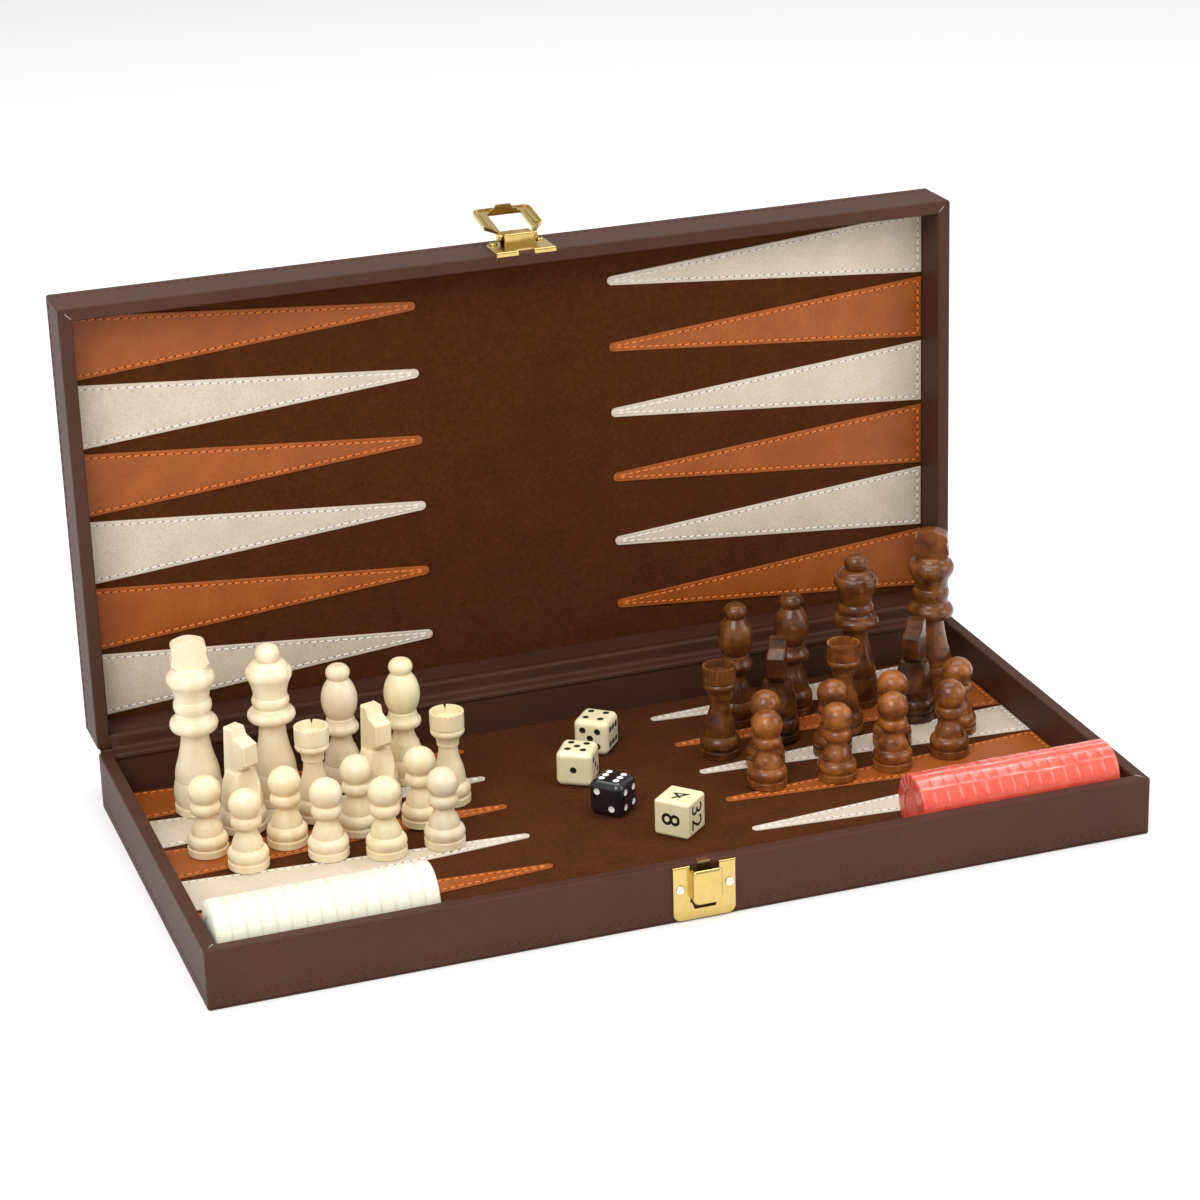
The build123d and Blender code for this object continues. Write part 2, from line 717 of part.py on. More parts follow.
# name, maker, x, distance from the spine wall's outer face, turn
LIGHT_MEN = [
    ("king", king, -156.5, 33.4, -8),
    ("queen", queen, -125.5, 36.4, -41),
    ("bishop_1", bishop, -96.7, 34.0, 0),
    ("bishop_2", bishop, -71.2, 36.7, 0),
    ("knight_1", knight, -144.3, 57.3, 29),
    ("knight_2", knight, -89.0, 58.4, 16),
    ("rook_1", rook, -115.0, 58.6, 28),
    ("rook_2", rook, -60.6, 64.1, 34),
    ("pawn_1", pawn, -162.6, 73.3, 0),
    ("pawn_2", pawn, -150.8, 91.4, 0),
    ("pawn_3", pawn, -131.6, 77.5, 0),
    ("pawn_4", pawn, -119.4, 94.1, 0),
    ("pawn_5", pawn, -102.6, 77.9, 0),
    ("pawn_6", pawn, -98.0, 101.5, 0),
    ("pawn_7", pawn, -77.2, 79.9, 0),
    ("pawn_8", pawn, -74.5, 102.1, 0),
]
DARK_MEN = [
    ("king", king, 162.4, 40.0, -25),
    ("queen", queen, 128.6, 37.9, -94),
    ("bishop_1", bishop, 74.8, 35.3, 0),
    ("bishop_2", bishop, 100.3, 35.4, 0),
    ("knight_1", knight, 84.3, 58.3, -30),
    ("knight_2", knight, 145.1, 61.4, -41),
    ("rook_1", rook, 56.4, 63.6, 10),
    ("rook_2", rook, 112.3, 62.5, -8),
    ("pawn_1", pawn, 62.5, 100.3, 0),
    ("pawn_2", pawn, 69.3, 81.7, 0),
    ("pawn_3", pawn, 91.2, 104.6, 0),
    ("pawn_4", pawn, 99.1, 81.8, 0),
    ("pawn_5", pawn, 116.4, 103.5, 0),
    ("pawn_6", pawn, 125.3, 83.2, 0),
    ("pawn_7", pawn, 143.0, 101.0, 0),
    ("pawn_8", pawn, 155.6, 81.4, 0),
]


def standing_height(x, y, reach):
    """Top of what a loose piece stands on: sewn leather where a point runs under it, else suede."""
    long_side = POINT_END - POINT_TIP
    outer_x = min(abs(x) + reach, POINT_END)
    for row in range(POINTS):
        row_y = ((POINTS - 1) / 2 - row) * POINT_PITCH
        half_width = (outer_x - POINT_TIP) / long_side * POINT_WIDTH / 2
        if half_width > 0 and abs(y - row_y) < half_width + reach:
            return LEATHER_TOP + STAND_OFF
    return FLOOR + STAND_OFF


for side, men in (("light", LIGHT_MEN), ("dark", DARK_MEN)):
    for name, make, x, from_spine, turn in men:
        y = WIDTH / 2 - from_spine
        z = standing_height(x, y, MAN_RADIUS[make])
        seat = Plane((x, y, z)).rotated((0, 0, turn))
        save(make(seat), side + "_" + name)


# ---------------------------------------------------------------- dice

# name: size, corner radius, x, y, turn, and the pips on its top, front-left and front-right faces
DICE = {
    "ivory_die_1": (15.1, 2.7, 10.8, 53.9, 50.1, (4, 5, 6)),
    "ivory_die_2": (15.1, 2.7, -6.6, 27.5, 57.2, (5, 1, 3)),
    "black_die": (15.1, 3.4, -3.0, -5.3, 41.5, (6, 2, 4)),
}
DOUBLING_CUBE = (15.2, 1.4, 15.2, -32.0, 41.7)
PIP_RADIUS = 1.4
PIP_DEEP = 0.6
PIP_SPREAD = 0.215


def pip_places(count, spread):
    """Pip centres of one face, as on any die."""
    corners = [(spread, -spread), (-spread, spread), (-spread, -spread), (spread, spread)]
    places = {
        1: [(0, 0)],
        2: corners[:2],
        3: corners[:2] + [(0, 0)],
        4: corners,
        5: corners + [(0, 0)],
        6: corners + [(0, -spread), (0, spread)],
    }
    return places[count]


def rounded_cube(seat, size, corner):
    with BuildPart() as cube:
        with BuildSketch(seat):
            Rectangle(size, size)
        extrude(amount=size)
        fillet(cube.edges(), corner)
    return cube


def die(seat, size, corner, shown):
    """Cube with drilled pips: opposite faces add up to seven."""
    top, front, right = shown
    middle = seat.offset(size / 2)
    faces = [
        (top, middle.z_dir, middle.x_dir),
        (7 - top, -middle.z_dir, middle.x_dir),
        (front, -middle.x_dir, middle.y_dir),
        (7 - front, middle.x_dir, middle.y_dir),
        (right, -middle.y_dir, middle.x_dir),
        (7 - right, middle.y_dir, middle.x_dir),
    ]
    cube = rounded_cube(seat, size, corner)
    with BuildPart() as pipped:
        add(cube.part)
        for count, out, across in faces:
            with BuildSketch(Plane(origin=middle.origin + out * (size / 2), x_dir=across, z_dir=out)):
                with Locations(*pip_places(count, PIP_SPREAD * size)):
                    Circle(PIP_RADIUS)
            extrude(amount=-PIP_DEEP, mode=Mode.SUBTRACT)
    return pipped


for name, (size, corner, x, y, turn, shown) in DICE.items():
    seat = Plane((x, y, standing_height(x, y, 0.6 * size))).rotated((0, 0, turn))
    save(die(seat, size, corner, shown), name)

size, corner, x, y, turn = DOUBLING_CUBE
seat = Plane((x, y, standing_height(x, y, 0.6 * size))).rotated((0, 0, turn))
save(rounded_cube(seat, size, corner), "doubling_cube")


# ---------------------------------------------------------------- checkers


def roll_start(colour):
    """Plane across the left end of a roll, its normal along the roll."""
    z = LEATHER_TOP + STAND_OFF + FILM + 0.1 + CHECKER_RADIUS
    x = ROLLS[colour] - CHECKERS * CHECKER_PITCH / 2
    return Plane(origin=(x, ROLL_Y, z), x_dir=(0, 1, 0), z_dir=(1, 0, 0))


def checkers(colour):
    """Fifteen discs on edge, side by side."""
    with BuildPart() as discs:
        for count in range(CHECKERS):
            with BuildSketch(roll_start(colour).offset(count * CHECKER_PITCH + CHECKER_GAP / 2)):
                Circle(CHECKER_RADIUS)
            extrude(amount=CHECKER_PITCH - CHECKER_GAP)
        fillet(discs.edges().filter_by(GeomType.CIRCLE), 0.7)
    return discs


def wrap(colour):
    """Film drawn round a roll, with a round hole left at each end."""
    start = roll_start(colour)
    long_side = CHECKERS * CHECKER_PITCH
    with BuildPart() as film:
        with BuildSketch(start.offset(-2 * FILM)):
            Circle(CHECKER_RADIUS + FILM + 0.05)
        extrude(amount=long_side + 4 * FILM)
        with BuildSketch(start.offset(-FILM)):
            Circle(CHECKER_RADIUS + 0.05)
        extrude(amount=long_side + 2 * FILM, mode=Mode.SUBTRACT)
        with BuildSketch(start.offset(-1)):
            Circle(CHECKER_RADIUS / 2)
        extrude(amount=long_side + 2, mode=Mode.SUBTRACT)
    return film


for colour in ROLLS:
    save(checkers(colour), colour + "_checkers")
    save(wrap(colour), colour + "_wrap")
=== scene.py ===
"""Looks for the folding backgammon and chess case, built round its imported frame.

Lengths are in millimetres in this file's own geometry and turned into metres when a mesh is made.
Each half of the case is a tray: x runs along it, y across it, and z from its outer face to its rim.
"""

import json
import math
import random

import bpy
from mathutils import Matrix, Vector, noise


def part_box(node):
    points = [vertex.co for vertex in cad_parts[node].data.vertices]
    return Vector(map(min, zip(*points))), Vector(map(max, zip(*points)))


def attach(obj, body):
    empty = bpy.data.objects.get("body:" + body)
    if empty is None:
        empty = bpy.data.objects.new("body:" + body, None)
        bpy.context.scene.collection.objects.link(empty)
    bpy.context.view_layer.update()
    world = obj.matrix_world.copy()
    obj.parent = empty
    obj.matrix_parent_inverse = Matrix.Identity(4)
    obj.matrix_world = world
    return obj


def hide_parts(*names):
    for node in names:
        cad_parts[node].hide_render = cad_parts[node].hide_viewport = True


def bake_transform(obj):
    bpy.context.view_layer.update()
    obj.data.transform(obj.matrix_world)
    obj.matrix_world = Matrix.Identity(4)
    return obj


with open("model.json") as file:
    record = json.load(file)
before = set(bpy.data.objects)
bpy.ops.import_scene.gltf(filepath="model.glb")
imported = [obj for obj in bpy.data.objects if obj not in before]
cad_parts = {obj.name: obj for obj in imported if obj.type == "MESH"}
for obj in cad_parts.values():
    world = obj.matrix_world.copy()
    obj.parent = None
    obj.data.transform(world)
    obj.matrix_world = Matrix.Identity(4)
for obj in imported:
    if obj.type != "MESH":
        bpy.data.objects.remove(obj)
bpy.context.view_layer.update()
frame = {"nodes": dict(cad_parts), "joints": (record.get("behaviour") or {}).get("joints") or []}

MM = 0.001

# Case, as the frame has it
LENGTH = 380.0
WIDTH = 186.0
HEIGHT = 24.0
WALL = 5.5
FLOOR = 7.0
LEATHER = 0.6
HINGE_GAP = 0.4
HINGE_OUT = 0.3
OPEN_ANGLE = 91.0
HINGE = Vector(next(j for j in frame["joints"] if j["name"] == "lid_hinge")["pos_m"]) / MM
BODY = {"base": "base", "lid": "lid"}
SPINE = {"base": 1, "lid": -1}


def lid_matrix():
    turn = math.radians(OPEN_ANGLE)
    up = Vector((0, -math.cos(turn), math.sin(turn)))
    to_rim = Vector((0, -math.sin(turn), -math.cos(turn)))
    origin = HINGE + up * (WIDTH / 2 + HINGE_OUT) - to_rim * (HEIGHT + HINGE_GAP)
    matrix = Matrix(((1, 0, 0), (0, up.y, to_rim.y), (0, up.z, to_rim.z))).to_4x4()
    matrix.translation = origin
    return matrix


TRAYS = {"base": Matrix.Identity(4), "lid": lid_matrix()}


# ---------------------------------------------------------------- camera, floor and lights


def make_camera():
    azimuth, elevation, roll = (math.radians(a) for a in (-19.008, 21.666, -1.596))
    back = Vector((
        math.sin(azimuth) * math.cos(elevation),
        -math.cos(azimuth) * math.cos(elevation),
        math.sin(elevation),
    ))
    right = (-back).cross(Vector((0, 0, 1))).normalized()
    up = right.cross(-back)
    side = right * math.cos(roll) + up * math.sin(roll)
    top = up * math.cos(roll) - right * math.sin(roll)
    data = bpy.data.cameras.new("camera")
    camera = bpy.data.objects.new("camera", data)
    bpy.context.scene.collection.objects.link(camera)
    matrix = Matrix((
        (side.x, top.x, back.x),
        (side.y, top.y, back.y),
        (side.z, top.z, back.z),
    )).to_4x4()
    matrix.translation = Vector((-399.089, -1147.752, 585.199)) * MM
    camera.matrix_world = matrix
    data.sensor_width = 36.0
    data.lens = 100.387
    data.shift_x = -0.00108
    data.shift_y = -0.01408
    data.clip_start = 0.05
    data.clip_end = 50.0
    bpy.context.scene.camera = camera


def area_light(name, place, aim, size, watts, colour=(1, 1, 1)):
    data = bpy.data.lights.new(name, "AREA")
    data.shape = "RECTANGLE"
    data.size, data.size_y = size
    data.energy = watts
    data.color = colour
    light = bpy.data.objects.new(name, data)
    bpy.context.scene.collection.objects.link(light)
    light.location = place
    light.rotation_euler = (Vector(aim) - Vector(place)).to_track_quat("-Z", "Y").to_euler()


def make_stage():
    mesh = bpy.data.meshes.new("floor")
    far = 6.0
    mesh.from_pydata([(-far, -far, 0), (far, -far, 0), (far, far, 0), (-far, far, 0)], [], [(0, 1, 2, 3)])
    floor = bpy.data.objects.new("floor", mesh)
    bpy.context.scene.collection.objects.link(floor)
    material = bpy.data.materials.new("floor_white")
    material.use_nodes = True
    shader = material.node_tree.nodes["Principled BSDF"]
    shader.inputs["Base Color"].default_value = (0.95, 0.95, 0.95, 1)
    shader.inputs["Roughness"].default_value = 0.9
    shader.inputs["Specular IOR Level"].default_value = 0.1
    mesh.materials.append(material)
    world = bpy.data.worlds.new("studio")
    world.use_nodes = True
    background = world.node_tree.nodes["Background"]
    background.inputs["Color"].default_value = (1, 1, 1, 1)
    background.inputs["Strength"].default_value = 0.66
    bpy.context.scene.world = world
    bpy.context.scene.view_settings.view_transform = "Standard"
    area_light("key", (-0.9, -1.1, 1.5), (0, 0, 0.05), (1.1, 1.1), 24.5)
    area_light("top", (0.1, 0.3, 1.7), (0, 0.02, 0), (1.6, 0.9), 15)
    area_light("fill", (1.5, -0.9, 0.9), (0, 0, 0.05), (0.9, 1.2), 9.4)


make_camera()
make_stage()


# ---------------------------------------------------------------- materials


class Paint:
    """A node material: a Principled shader with helpers for the patterns that feed it."""

    def __init__(self, name, roughness=0.5, **constants):
        self.material = bpy.data.materials.new(name)
        self.material.use_nodes = True
        self.tree = self.material.node_tree
        self.shader = self.tree.nodes["Principled BSDF"]
        self.shader.inputs["Roughness"].default_value = roughness
        for socket, value in constants.items():
            self.shader.inputs[socket.replace("_", " ")].default_value = value
        self.place = self.tree.nodes.new("ShaderNodeTexCoord").outputs["Object"]

    def node(self, kind, **settings):
        made = self.tree.nodes.new(kind)
        for name, value in settings.items():
            setattr(made, name, value)
        return made

    def link(self, source, target):
        self.tree.links.new(source, target)

    def stretched(self, scale, turn=(0, 0, 0)):
        """Coordinates scaled by different amounts each way."""
        mapping = self.node("ShaderNodeMapping")
        mapping.inputs["Scale"].default_value = scale
        mapping.inputs["Rotation"].default_value = turn
        self.link(self.place, mapping.inputs["Vector"])
        return mapping.outputs["Vector"]

    def noise(self, size, detail=3.0, where=None, rough=0.5):
        """Noise whose features are about size millimetres across."""
        made = self.node("ShaderNodeTexNoise")
        made.inputs["Scale"].default_value = 1 / (size * MM)
        made.inputs["Detail"].default_value = detail
        made.inputs["Roughness"].default_value = rough
        self.link(where or self.place, made.inputs["Vector"])
        return made.outputs["Fac"]

    def cells(self, size, where=None, feature="F1"):
        made = self.node("ShaderNodeTexVoronoi", feature=feature)
        made.inputs["Scale"].default_value = 1 / (size * MM)
        self.link(where or self.place, made.inputs["Vector"])
        return made.outputs["Distance"]

    def ramp(self, factor, *stops):
        """Colours, or grey levels, placed along a factor."""
        made = self.node("ShaderNodeValToRGB")
        elements = made.color_ramp.elements
        while len(elements) < len(stops):
            elements.new(0.5)
        for element, (place, colour) in zip(elements, stops):
            element.position = place
            if isinstance(colour, (int, float)):
                colour = (colour,) * 3
            element.color = (*colour, 1)
        self.link(factor, made.inputs["Fac"])
        return made.outputs["Color"]

    def mix(self, factor, first, second, blend="MIX"):
        made = self.node("ShaderNodeMix", data_type="RGBA", blend_type=blend)
        for socket, value in ((0, factor), (6, first), (7, second)):
            if isinstance(value, (int, float)):
                made.inputs[socket].default_value = value
            elif isinstance(value, tuple):
                made.inputs[socket].default_value = (*value, 1)
            else:
                self.link(value, made.inputs[socket])
        return made.outputs[2]

    def maths(self, operation, first, second=0.0):
        made = self.node("ShaderNodeMath", operation=operation)
        for socket, value in enumerate((first, second)):
            if isinstance(value, (int, float)):
                made.inputs[socket].default_value = value
            else:
                self.link(value, made.inputs[socket])
        return made.outputs[0]

    def colour(self, source):
        self.link(source, self.shader.inputs["Base Color"])

    def roughness(self, factor, low, high):
        self.link(self.ramp(factor, (0, low), (1, high)), self.shader.inputs["Roughness"])

    def bump(self, height, strength, depth):
        """Adds relief of about depth millimetres under what is there already."""
        made = self.node("ShaderNodeBump")
        made.inputs["Strength"].default_value = strength
        made.inputs["Distance"].default_value = depth * MM
        self.link(height, made.inputs["Height"])
        below = self.shader.inputs["Normal"].links
        if below:
            self.link(below[0].from_socket, made.inputs["Normal"])
        self.link(made.outputs["Normal"], self.shader.inputs["Normal"])


def leather(name, dark, light, grain, roughness, relief, mottle=14.0, shine=0.5):
    """Grained leather: pebbles with creases between them, painted shade darkening the creases, and a slow
    change of colour.
    """
    paint = Paint(name, roughness, Specular_IOR_Level=shine)
    pebbles = paint.cells(grain)
    slow = paint.noise(mottle, 4.0)
    colour = paint.mix(paint.ramp(slow, (0.3, 0.0), (0.7, 1.0)), dark, light)
    # Painted shade: the creases between the pebbles are mixed towards a darker copy of the leather's colour.
    creases = paint.ramp(pebbles, (0.35, 0.0), (0.8, 1.0))
    shade = tuple(0.72 * c for c in dark)
    paint.colour(paint.mix(paint.maths("MULTIPLY", creases, 0.35), colour, shade))
    paint.roughness(paint.noise(grain * 1.7, 2.0), roughness - 0.07, roughness + 0.09)
    paint.bump(paint.ramp(pebbles, (0.0, 1.0), (0.85, 0.0)), 0.5, relief)
    paint.bump(paint.noise(grain * 7, 3.0), 0.35, relief * 2.0)
    return paint.material


def suede(name):
    """Brushed nap: fine fibres, soft patches where it lies the other way, and a pale sheen."""
    paint = Paint(name, 0.95, Specular_IOR_Level=0.08, Sheen_Weight=0.09, Sheen_Roughness=0.45)
    paint.shader.inputs["Sheen Tint"].default_value = (0.5, 0.25, 0.1, 1)
    fibres = paint.noise(0.45, 4.0, rough=0.7)
    patches = paint.noise(16.0, 5.0, paint.stretched((1, 1, 1), (0.2, 0.1, 0.5)), rough=0.62)
    clumps = paint.noise(2.2, 3.0)
    brushed = paint.ramp(patches, (0.32, 0.0), (0.68, 1.0))
    base = paint.mix(brushed, (0.038, 0.0098, 0.0020), (0.069, 0.0185, 0.0042))
    speckled = paint.mix(paint.ramp(fibres, (0.38, 0.0), (0.66, 1.0)), base, (0.092, 0.0275, 0.0068))
    paint.colour(paint.mix(paint.ramp(clumps, (0.35, 0.35), (0.65, 0.0)), speckled, (0.032, 0.0085, 0.0018)))
    paint.bump(fibres, 0.6, 0.12)
    paint.bump(clumps, 0.3, 0.2)
    return paint.material


def metal(name, colour, roughness, scratch):
    """Polished plate with faint wiping marks."""
    paint = Paint(name, roughness, Metallic=1.0)
    marks = paint.noise(3.0, 2.0, paint.stretched((1, 4, 1), (0.3, 0.2, 0.7)))
    dull = tuple(0.93 * c for c in colour)
    paint.colour(paint.mix(paint.ramp(marks, (0.35, 0.0), (0.7, 1.0)), colour, dull))
    paint.roughness(marks, roughness, roughness + 0.12)
    paint.bump(marks, 0.06, scratch)
    return paint.material


def plastic(name, dark, light, roughness=0.25, cloud=5.0, soft=0.0, coat=0.0):
    """Moulded plastic, slightly clouded."""
    paint = Paint(name, roughness, Subsurface_Weight=soft, Coat_Weight=coat, Coat_Roughness=0.12)
    paint.shader.inputs["Subsurface Radius"].default_value = (1.0, 0.8, 0.5)
    paint.shader.inputs["Subsurface Scale"].default_value = 1.2 * MM
    cloud = paint.noise(cloud, 3.0)
    paint.colour(paint.mix(paint.ramp(cloud, (0.3, 0.0), (0.7, 1.0)), dark, light))
    paint.roughness(paint.noise(1.3, 4.0), roughness - 0.05, roughness + 0.1)
    paint.bump(paint.noise(3.5, 2.0), 0.12, 0.12)
    return paint.material


def light_wood(name, tint, seed):
    """Pale close-grained wood under a satin lacquer, its fibres upright."""
    paint = Paint(name, 0.42, Coat_Weight=0.2, Coat_Roughness=0.3, Subsurface_Weight=0.08)
    paint.shader.inputs["Subsurface Scale"].default_value = 0.8 * MM
    lean = (0.05 * math.sin(seed), 0.05 * math.cos(2 * seed), seed)
    upright = paint.stretched((1, 1, 0.07), lean)
    fibres = paint.noise(0.8, 4.0, upright, 0.65)
    bands = paint.noise(4.5, 2.0, upright)
    base = tuple(c * t for c, t in zip((0.86, 0.755, 0.535), tint))
    deep = tuple(c * t for c, t in zip((0.79, 0.64, 0.39), tint))
    grain = paint.mix(paint.ramp(bands, (0.35, 0.0), (0.75, 1.0)), base, deep)
    fine = paint.mix(paint.ramp(fibres, (0.52, 0.0), (0.78, 0.3)), grain, tuple(0.82 * c for c in deep))
    patch = paint.noise(9.0, 3.0, paint.stretched((1, 1, 0.8), (seed, 0, 0)))
    paint.colour(paint.mix(paint.ramp(patch, (0.58, 0.0), (0.8, 0.35)), fine, deep))
    paint.roughness(fibres, 0.34, 0.52)
    paint.bump(fibres, 0.18, 0.08)
    turning = paint.noise(0.7, 1.0, paint.stretched((0.03, 0.03, 1)))
    paint.bump(turning, 0.12, 0.06)
    return paint.material


def dark_wood(name, honey, deep, seed):
    """Stained wood under a thick gloss lacquer: the stain lies unevenly and follows the grain."""
    paint = Paint(name, 0.4, Specular_IOR_Level=0.2, Coat_Weight=0.4, Coat_Roughness=0.1)
    lean = (0.06 * math.cos(seed), 0.06 * math.sin(3 * seed), seed)
    upright = paint.stretched((1, 1, 0.09), lean)
    fibres = paint.noise(0.7, 4.0, upright, 0.7)
    bands = paint.noise(3.6, 3.0, upright)
    patches = paint.noise(7.5, 3.0, paint.stretched((1, 1, 1.3), (seed, seed, 0)))
    stain = paint.mix(paint.ramp(patches, (0.3, 0.0), (0.68, 1.0)), deep, honey)
    banded = paint.mix(paint.ramp(bands, (0.4, 0.0), (0.7, 0.5)), stain, deep)
    dark = tuple(0.45 * c for c in deep)
    paint.colour(paint.mix(paint.ramp(fibres, (0.5, 0.0), (0.8, 0.7)), banded, dark))
    paint.roughness(fibres, 0.28, 0.46)
    paint.bump(fibres, 0.22, 0.07)
    paint.bump(paint.noise(0.8, 1.0, paint.stretched((0.03, 0.03, 1))), 0.14, 0.07)
    return paint.material


LEATHERETTE = leather(
    "leatherette_brown", (0.058, 0.0215, 0.0120), (0.074, 0.028, 0.0165),
    grain=0.75, roughness=0.5, relief=0.055, mottle=40.0, shine=0.17,
)
TAN = leather(
    "leather_tan", (0.285, 0.066, 0.008), (0.37, 0.095, 0.013),
    grain=0.9, roughness=0.42, relief=0.06, shine=0.3,
)
CREAM = leather(
    "leather_cream", (0.58, 0.485, 0.375), (0.67, 0.57, 0.45),
    grain=0.9, roughness=0.48, relief=0.05, shine=0.35,
)
SUEDE = suede("suede_brown")
BRASS = metal("brass_polished", (0.66, 0.48, 0.165), 0.17, 0.02)
STEEL = metal("screw_plated", (0.86, 0.83, 0.76), 0.2, 0.02)
WOOD = leather("board_edge", (0.42, 0.28, 0.16), (0.5, 0.35, 0.2), 1.5, 0.6, 0.03)
IVORY = plastic("ivory_plastic", (0.84, 0.75, 0.46), (0.89, 0.815, 0.53), 0.22, 5.0, 0.25, 0.3)
BLACK = plastic("black_plastic", (0.010, 0.010, 0.010), (0.016, 0.016, 0.017), 0.2, 5.0, 0.0, 0.4)
WHITE_PAINT = plastic("white_paint", (0.82, 0.82, 0.78), (0.88, 0.88, 0.85), 0.35)
BLACK_PAINT = plastic("black_paint", (0.008, 0.008, 0.008), (0.014, 0.014, 0.014), 0.3)
LIGHT_PLASTIC = plastic("checker_light", (0.80, 0.80, 0.66), (0.88, 0.88, 0.76), 0.35, 6.0, 0.2)
RED_PLASTIC = plastic("checker_red", (0.70, 0.085, 0.05), (0.80, 0.13, 0.085), 0.3, 6.0, 0.15)


def thread(name, colour, dark):
    """Twisted sewing thread."""
    paint = Paint(name, 0.7, Sheen_Weight=0.05, Specular_IOR_Level=0.25)
    twist = paint.noise(0.35, 3.0)
    paint.colour(paint.mix(paint.ramp(twist, (0.35, 0.0), (0.65, 1.0)), dark, colour))
    paint.bump(twist, 0.5, 0.08)
    return paint.material


ORANGE_THREAD = thread("thread_orange", (0.86, 0.25, 0.045), (0.58, 0.125, 0.02))
WHITE_THREAD = thread("thread_white", (0.90, 0.88, 0.84), (0.70, 0.66, 0.60))
BROWN_THREAD = thread("thread_brown", (0.115, 0.032, 0.019), (0.065, 0.019, 0.011))


def painted_pit_shade(name, low, high):
    """Painted shade: the dark of the pit a needle leaves, as a flat colour."""
    paint = Paint(name, 0.9, Specular_IOR_Level=0.1)
    paint.colour(paint.ramp(paint.noise(1.0), (0.0, low), (1.0, high)))
    return paint.material


# Painted shade: near black for the pits in the tan leather and the walls, and for the seam; grey for the
# pits in the cream leather.
DARK_SHADE_PAINT = painted_pit_shade("painted_shade_dark", (0.010, 0.005, 0.003), (0.022, 0.010, 0.006))
GREY_SHADE_PAINT = painted_pit_shade("painted_shade_grey", (0.10, 0.08, 0.06), (0.19, 0.15, 0.11))


# ---------------------------------------------------------------- mesh helpers


def make_piece(name, verts, faces, materials, body, matrix=None, which=None, smooth=True):
    """A mesh from millimetre points in a tray's coordinates, riding on a body."""
    mesh = bpy.data.meshes.new(name)
    matrix = matrix or Matrix.Identity(4)
    mesh.from_pydata([(matrix @ Vector(v)) * MM for v in verts], [], faces)
    for material in materials:
        mesh.materials.append(material)
    if which:
        mesh.polygons.foreach_set("material_index", which)
    mesh.polygons.foreach_set("use_smooth", [smooth] * len(mesh.polygons))
    mesh.update()
    made = bpy.data.objects.new(name, mesh)
    bpy.context.scene.collection.objects.link(made)
    if body:
        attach(made, body)
    return made


def coat(node, *materials):
    """Gives a CAD node its finish."""
    mesh = frame["nodes"][node].data
    mesh.materials.clear()
    for material in materials:
        mesh.materials.append(material)
    return frame["nodes"][node]


def grid_faces(rows, columns, first=0, wrap=False):
    """Quads of a grid of points stored row by row."""
    faces = []
    for i in range(rows - 1):
        for j in range(columns if wrap else columns - 1):
            k = (j + 1) % columns
            faces.append((
                first + i * columns + j,
                first + i * columns + k,
                first + (i + 1) * columns + k,
                first + (i + 1) * columns + j,
            ))
    return faces


# ---------------------------------------------------------------- stitching


# Sections along one stitch: share of its half length, width and lift, as shares of its thickness
STITCH_STATIONS = (
    (-1.0, 0.30, -0.55), (-0.8, 0.8, -0.1), (-0.3, 1.0, 0.25),
    (0.3, 1.0, 0.25), (0.8, 0.8, -0.1), (1.0, 0.30, -0.55),
)


class Stitches:
    """Rows of single stitches with needle holes between them, the holes painted as small dark discs of
    shade, gathered into one mesh.
    """

    def __init__(self, pitch, thick, seed, slant=7.0):
        self.pitch, self.thick, self.slant = pitch, thick, slant
        self.random = random.Random(seed)
        self.verts, self.faces, self.which = [], [], []

    def run(self, start, end, normal):
        """Stitches from one point to another on a face with that normal."""
        start, end, normal = Vector(start), Vector(end), Vector(normal).normalized()
        way = end - start
        count = max(1, round(way.length / self.pitch))
        along, step = way.normalized(), way.length / count
        for i in range(count):
            self.stitch(start + along * step * (i + 0.5), along, normal, step)
            self.hole(start + along * step * i, along, normal)

    def stitch(self, middle, along, normal, step):
        turn = math.radians(self.slant + self.random.uniform(-3, 3))
        side = normal.cross(along)
        ahead = along * math.cos(turn) + side * math.sin(turn)
        across = normal.cross(ahead)
        half = 0.38 * step * self.random.uniform(0.94, 1.05)
        first = len(self.verts)
        around = 6
        for t, width, lift in STITCH_STATIONS:
            for k in range(around):
                angle = 2 * math.pi * k / around
                self.verts.append(
                    middle + ahead * half * t
                    + across * self.thick * width * math.cos(angle)
                    + normal * self.thick * (0.75 * width * math.sin(angle) + lift)
                )
        faces = grid_faces(len(STITCH_STATIONS), around, first, wrap=True)
        faces.append(tuple(first + k for k in range(around)))
        last = first + around * (len(STITCH_STATIONS) - 1)
        faces.append(tuple(last + around - 1 - k for k in range(around)))
        self.faces += faces
        self.which += [0] * len(faces)

    def hole(self, middle, along, normal):
        """A small disc between two stitches, coloured with the painted shade of a needle's pit."""
        side = normal.cross(along)
        first = len(self.verts)
        around = 6
        radius = self.thick * 1.05
        for share, lift in ((1.0, 0.03), (0.5, 0.045)):
            for k in range(around):
                angle = 2 * math.pi * k / around
                self.verts.append(
                    middle + normal * lift
                    + along * radius * share * math.cos(angle)
                    + side * 0.8 * radius * share * math.sin(angle)
                )
        faces = grid_faces(2, around, first, wrap=True)
        faces.append(tuple(first + around + k for k in range(around)))
        self.faces += faces
        self.which += [1] * len(faces)

    def piece(self, name, material, body, matrix):
        # the needle pits get painted shade, grey under the white thread
        pit_shade = GREY_SHADE_PAINT if material is WHITE_THREAD else DARK_SHADE_PAINT
        return make_piece(name, self.verts, self.faces, (material, pit_shade), body, matrix, self.which)


# ---------------------------------------------------------------- trays

POINTS = 6
POINT_PITCH = 28.7
POINT_WIDTH = 27.0
POINT_END = LENGTH / 2 - WALL - 0.2
POINT_TIP = 41.5
TIP_RADIUS = 2.0
STITCH_INSET = 1.7
STITCH_PITCH = 3.4
THREAD_RADIUS = 0.36
WALL_STITCH_PITCH = 4.0
WALL_THREAD_RADIUS = 0.27
WALL_STITCH_UP = 4.2
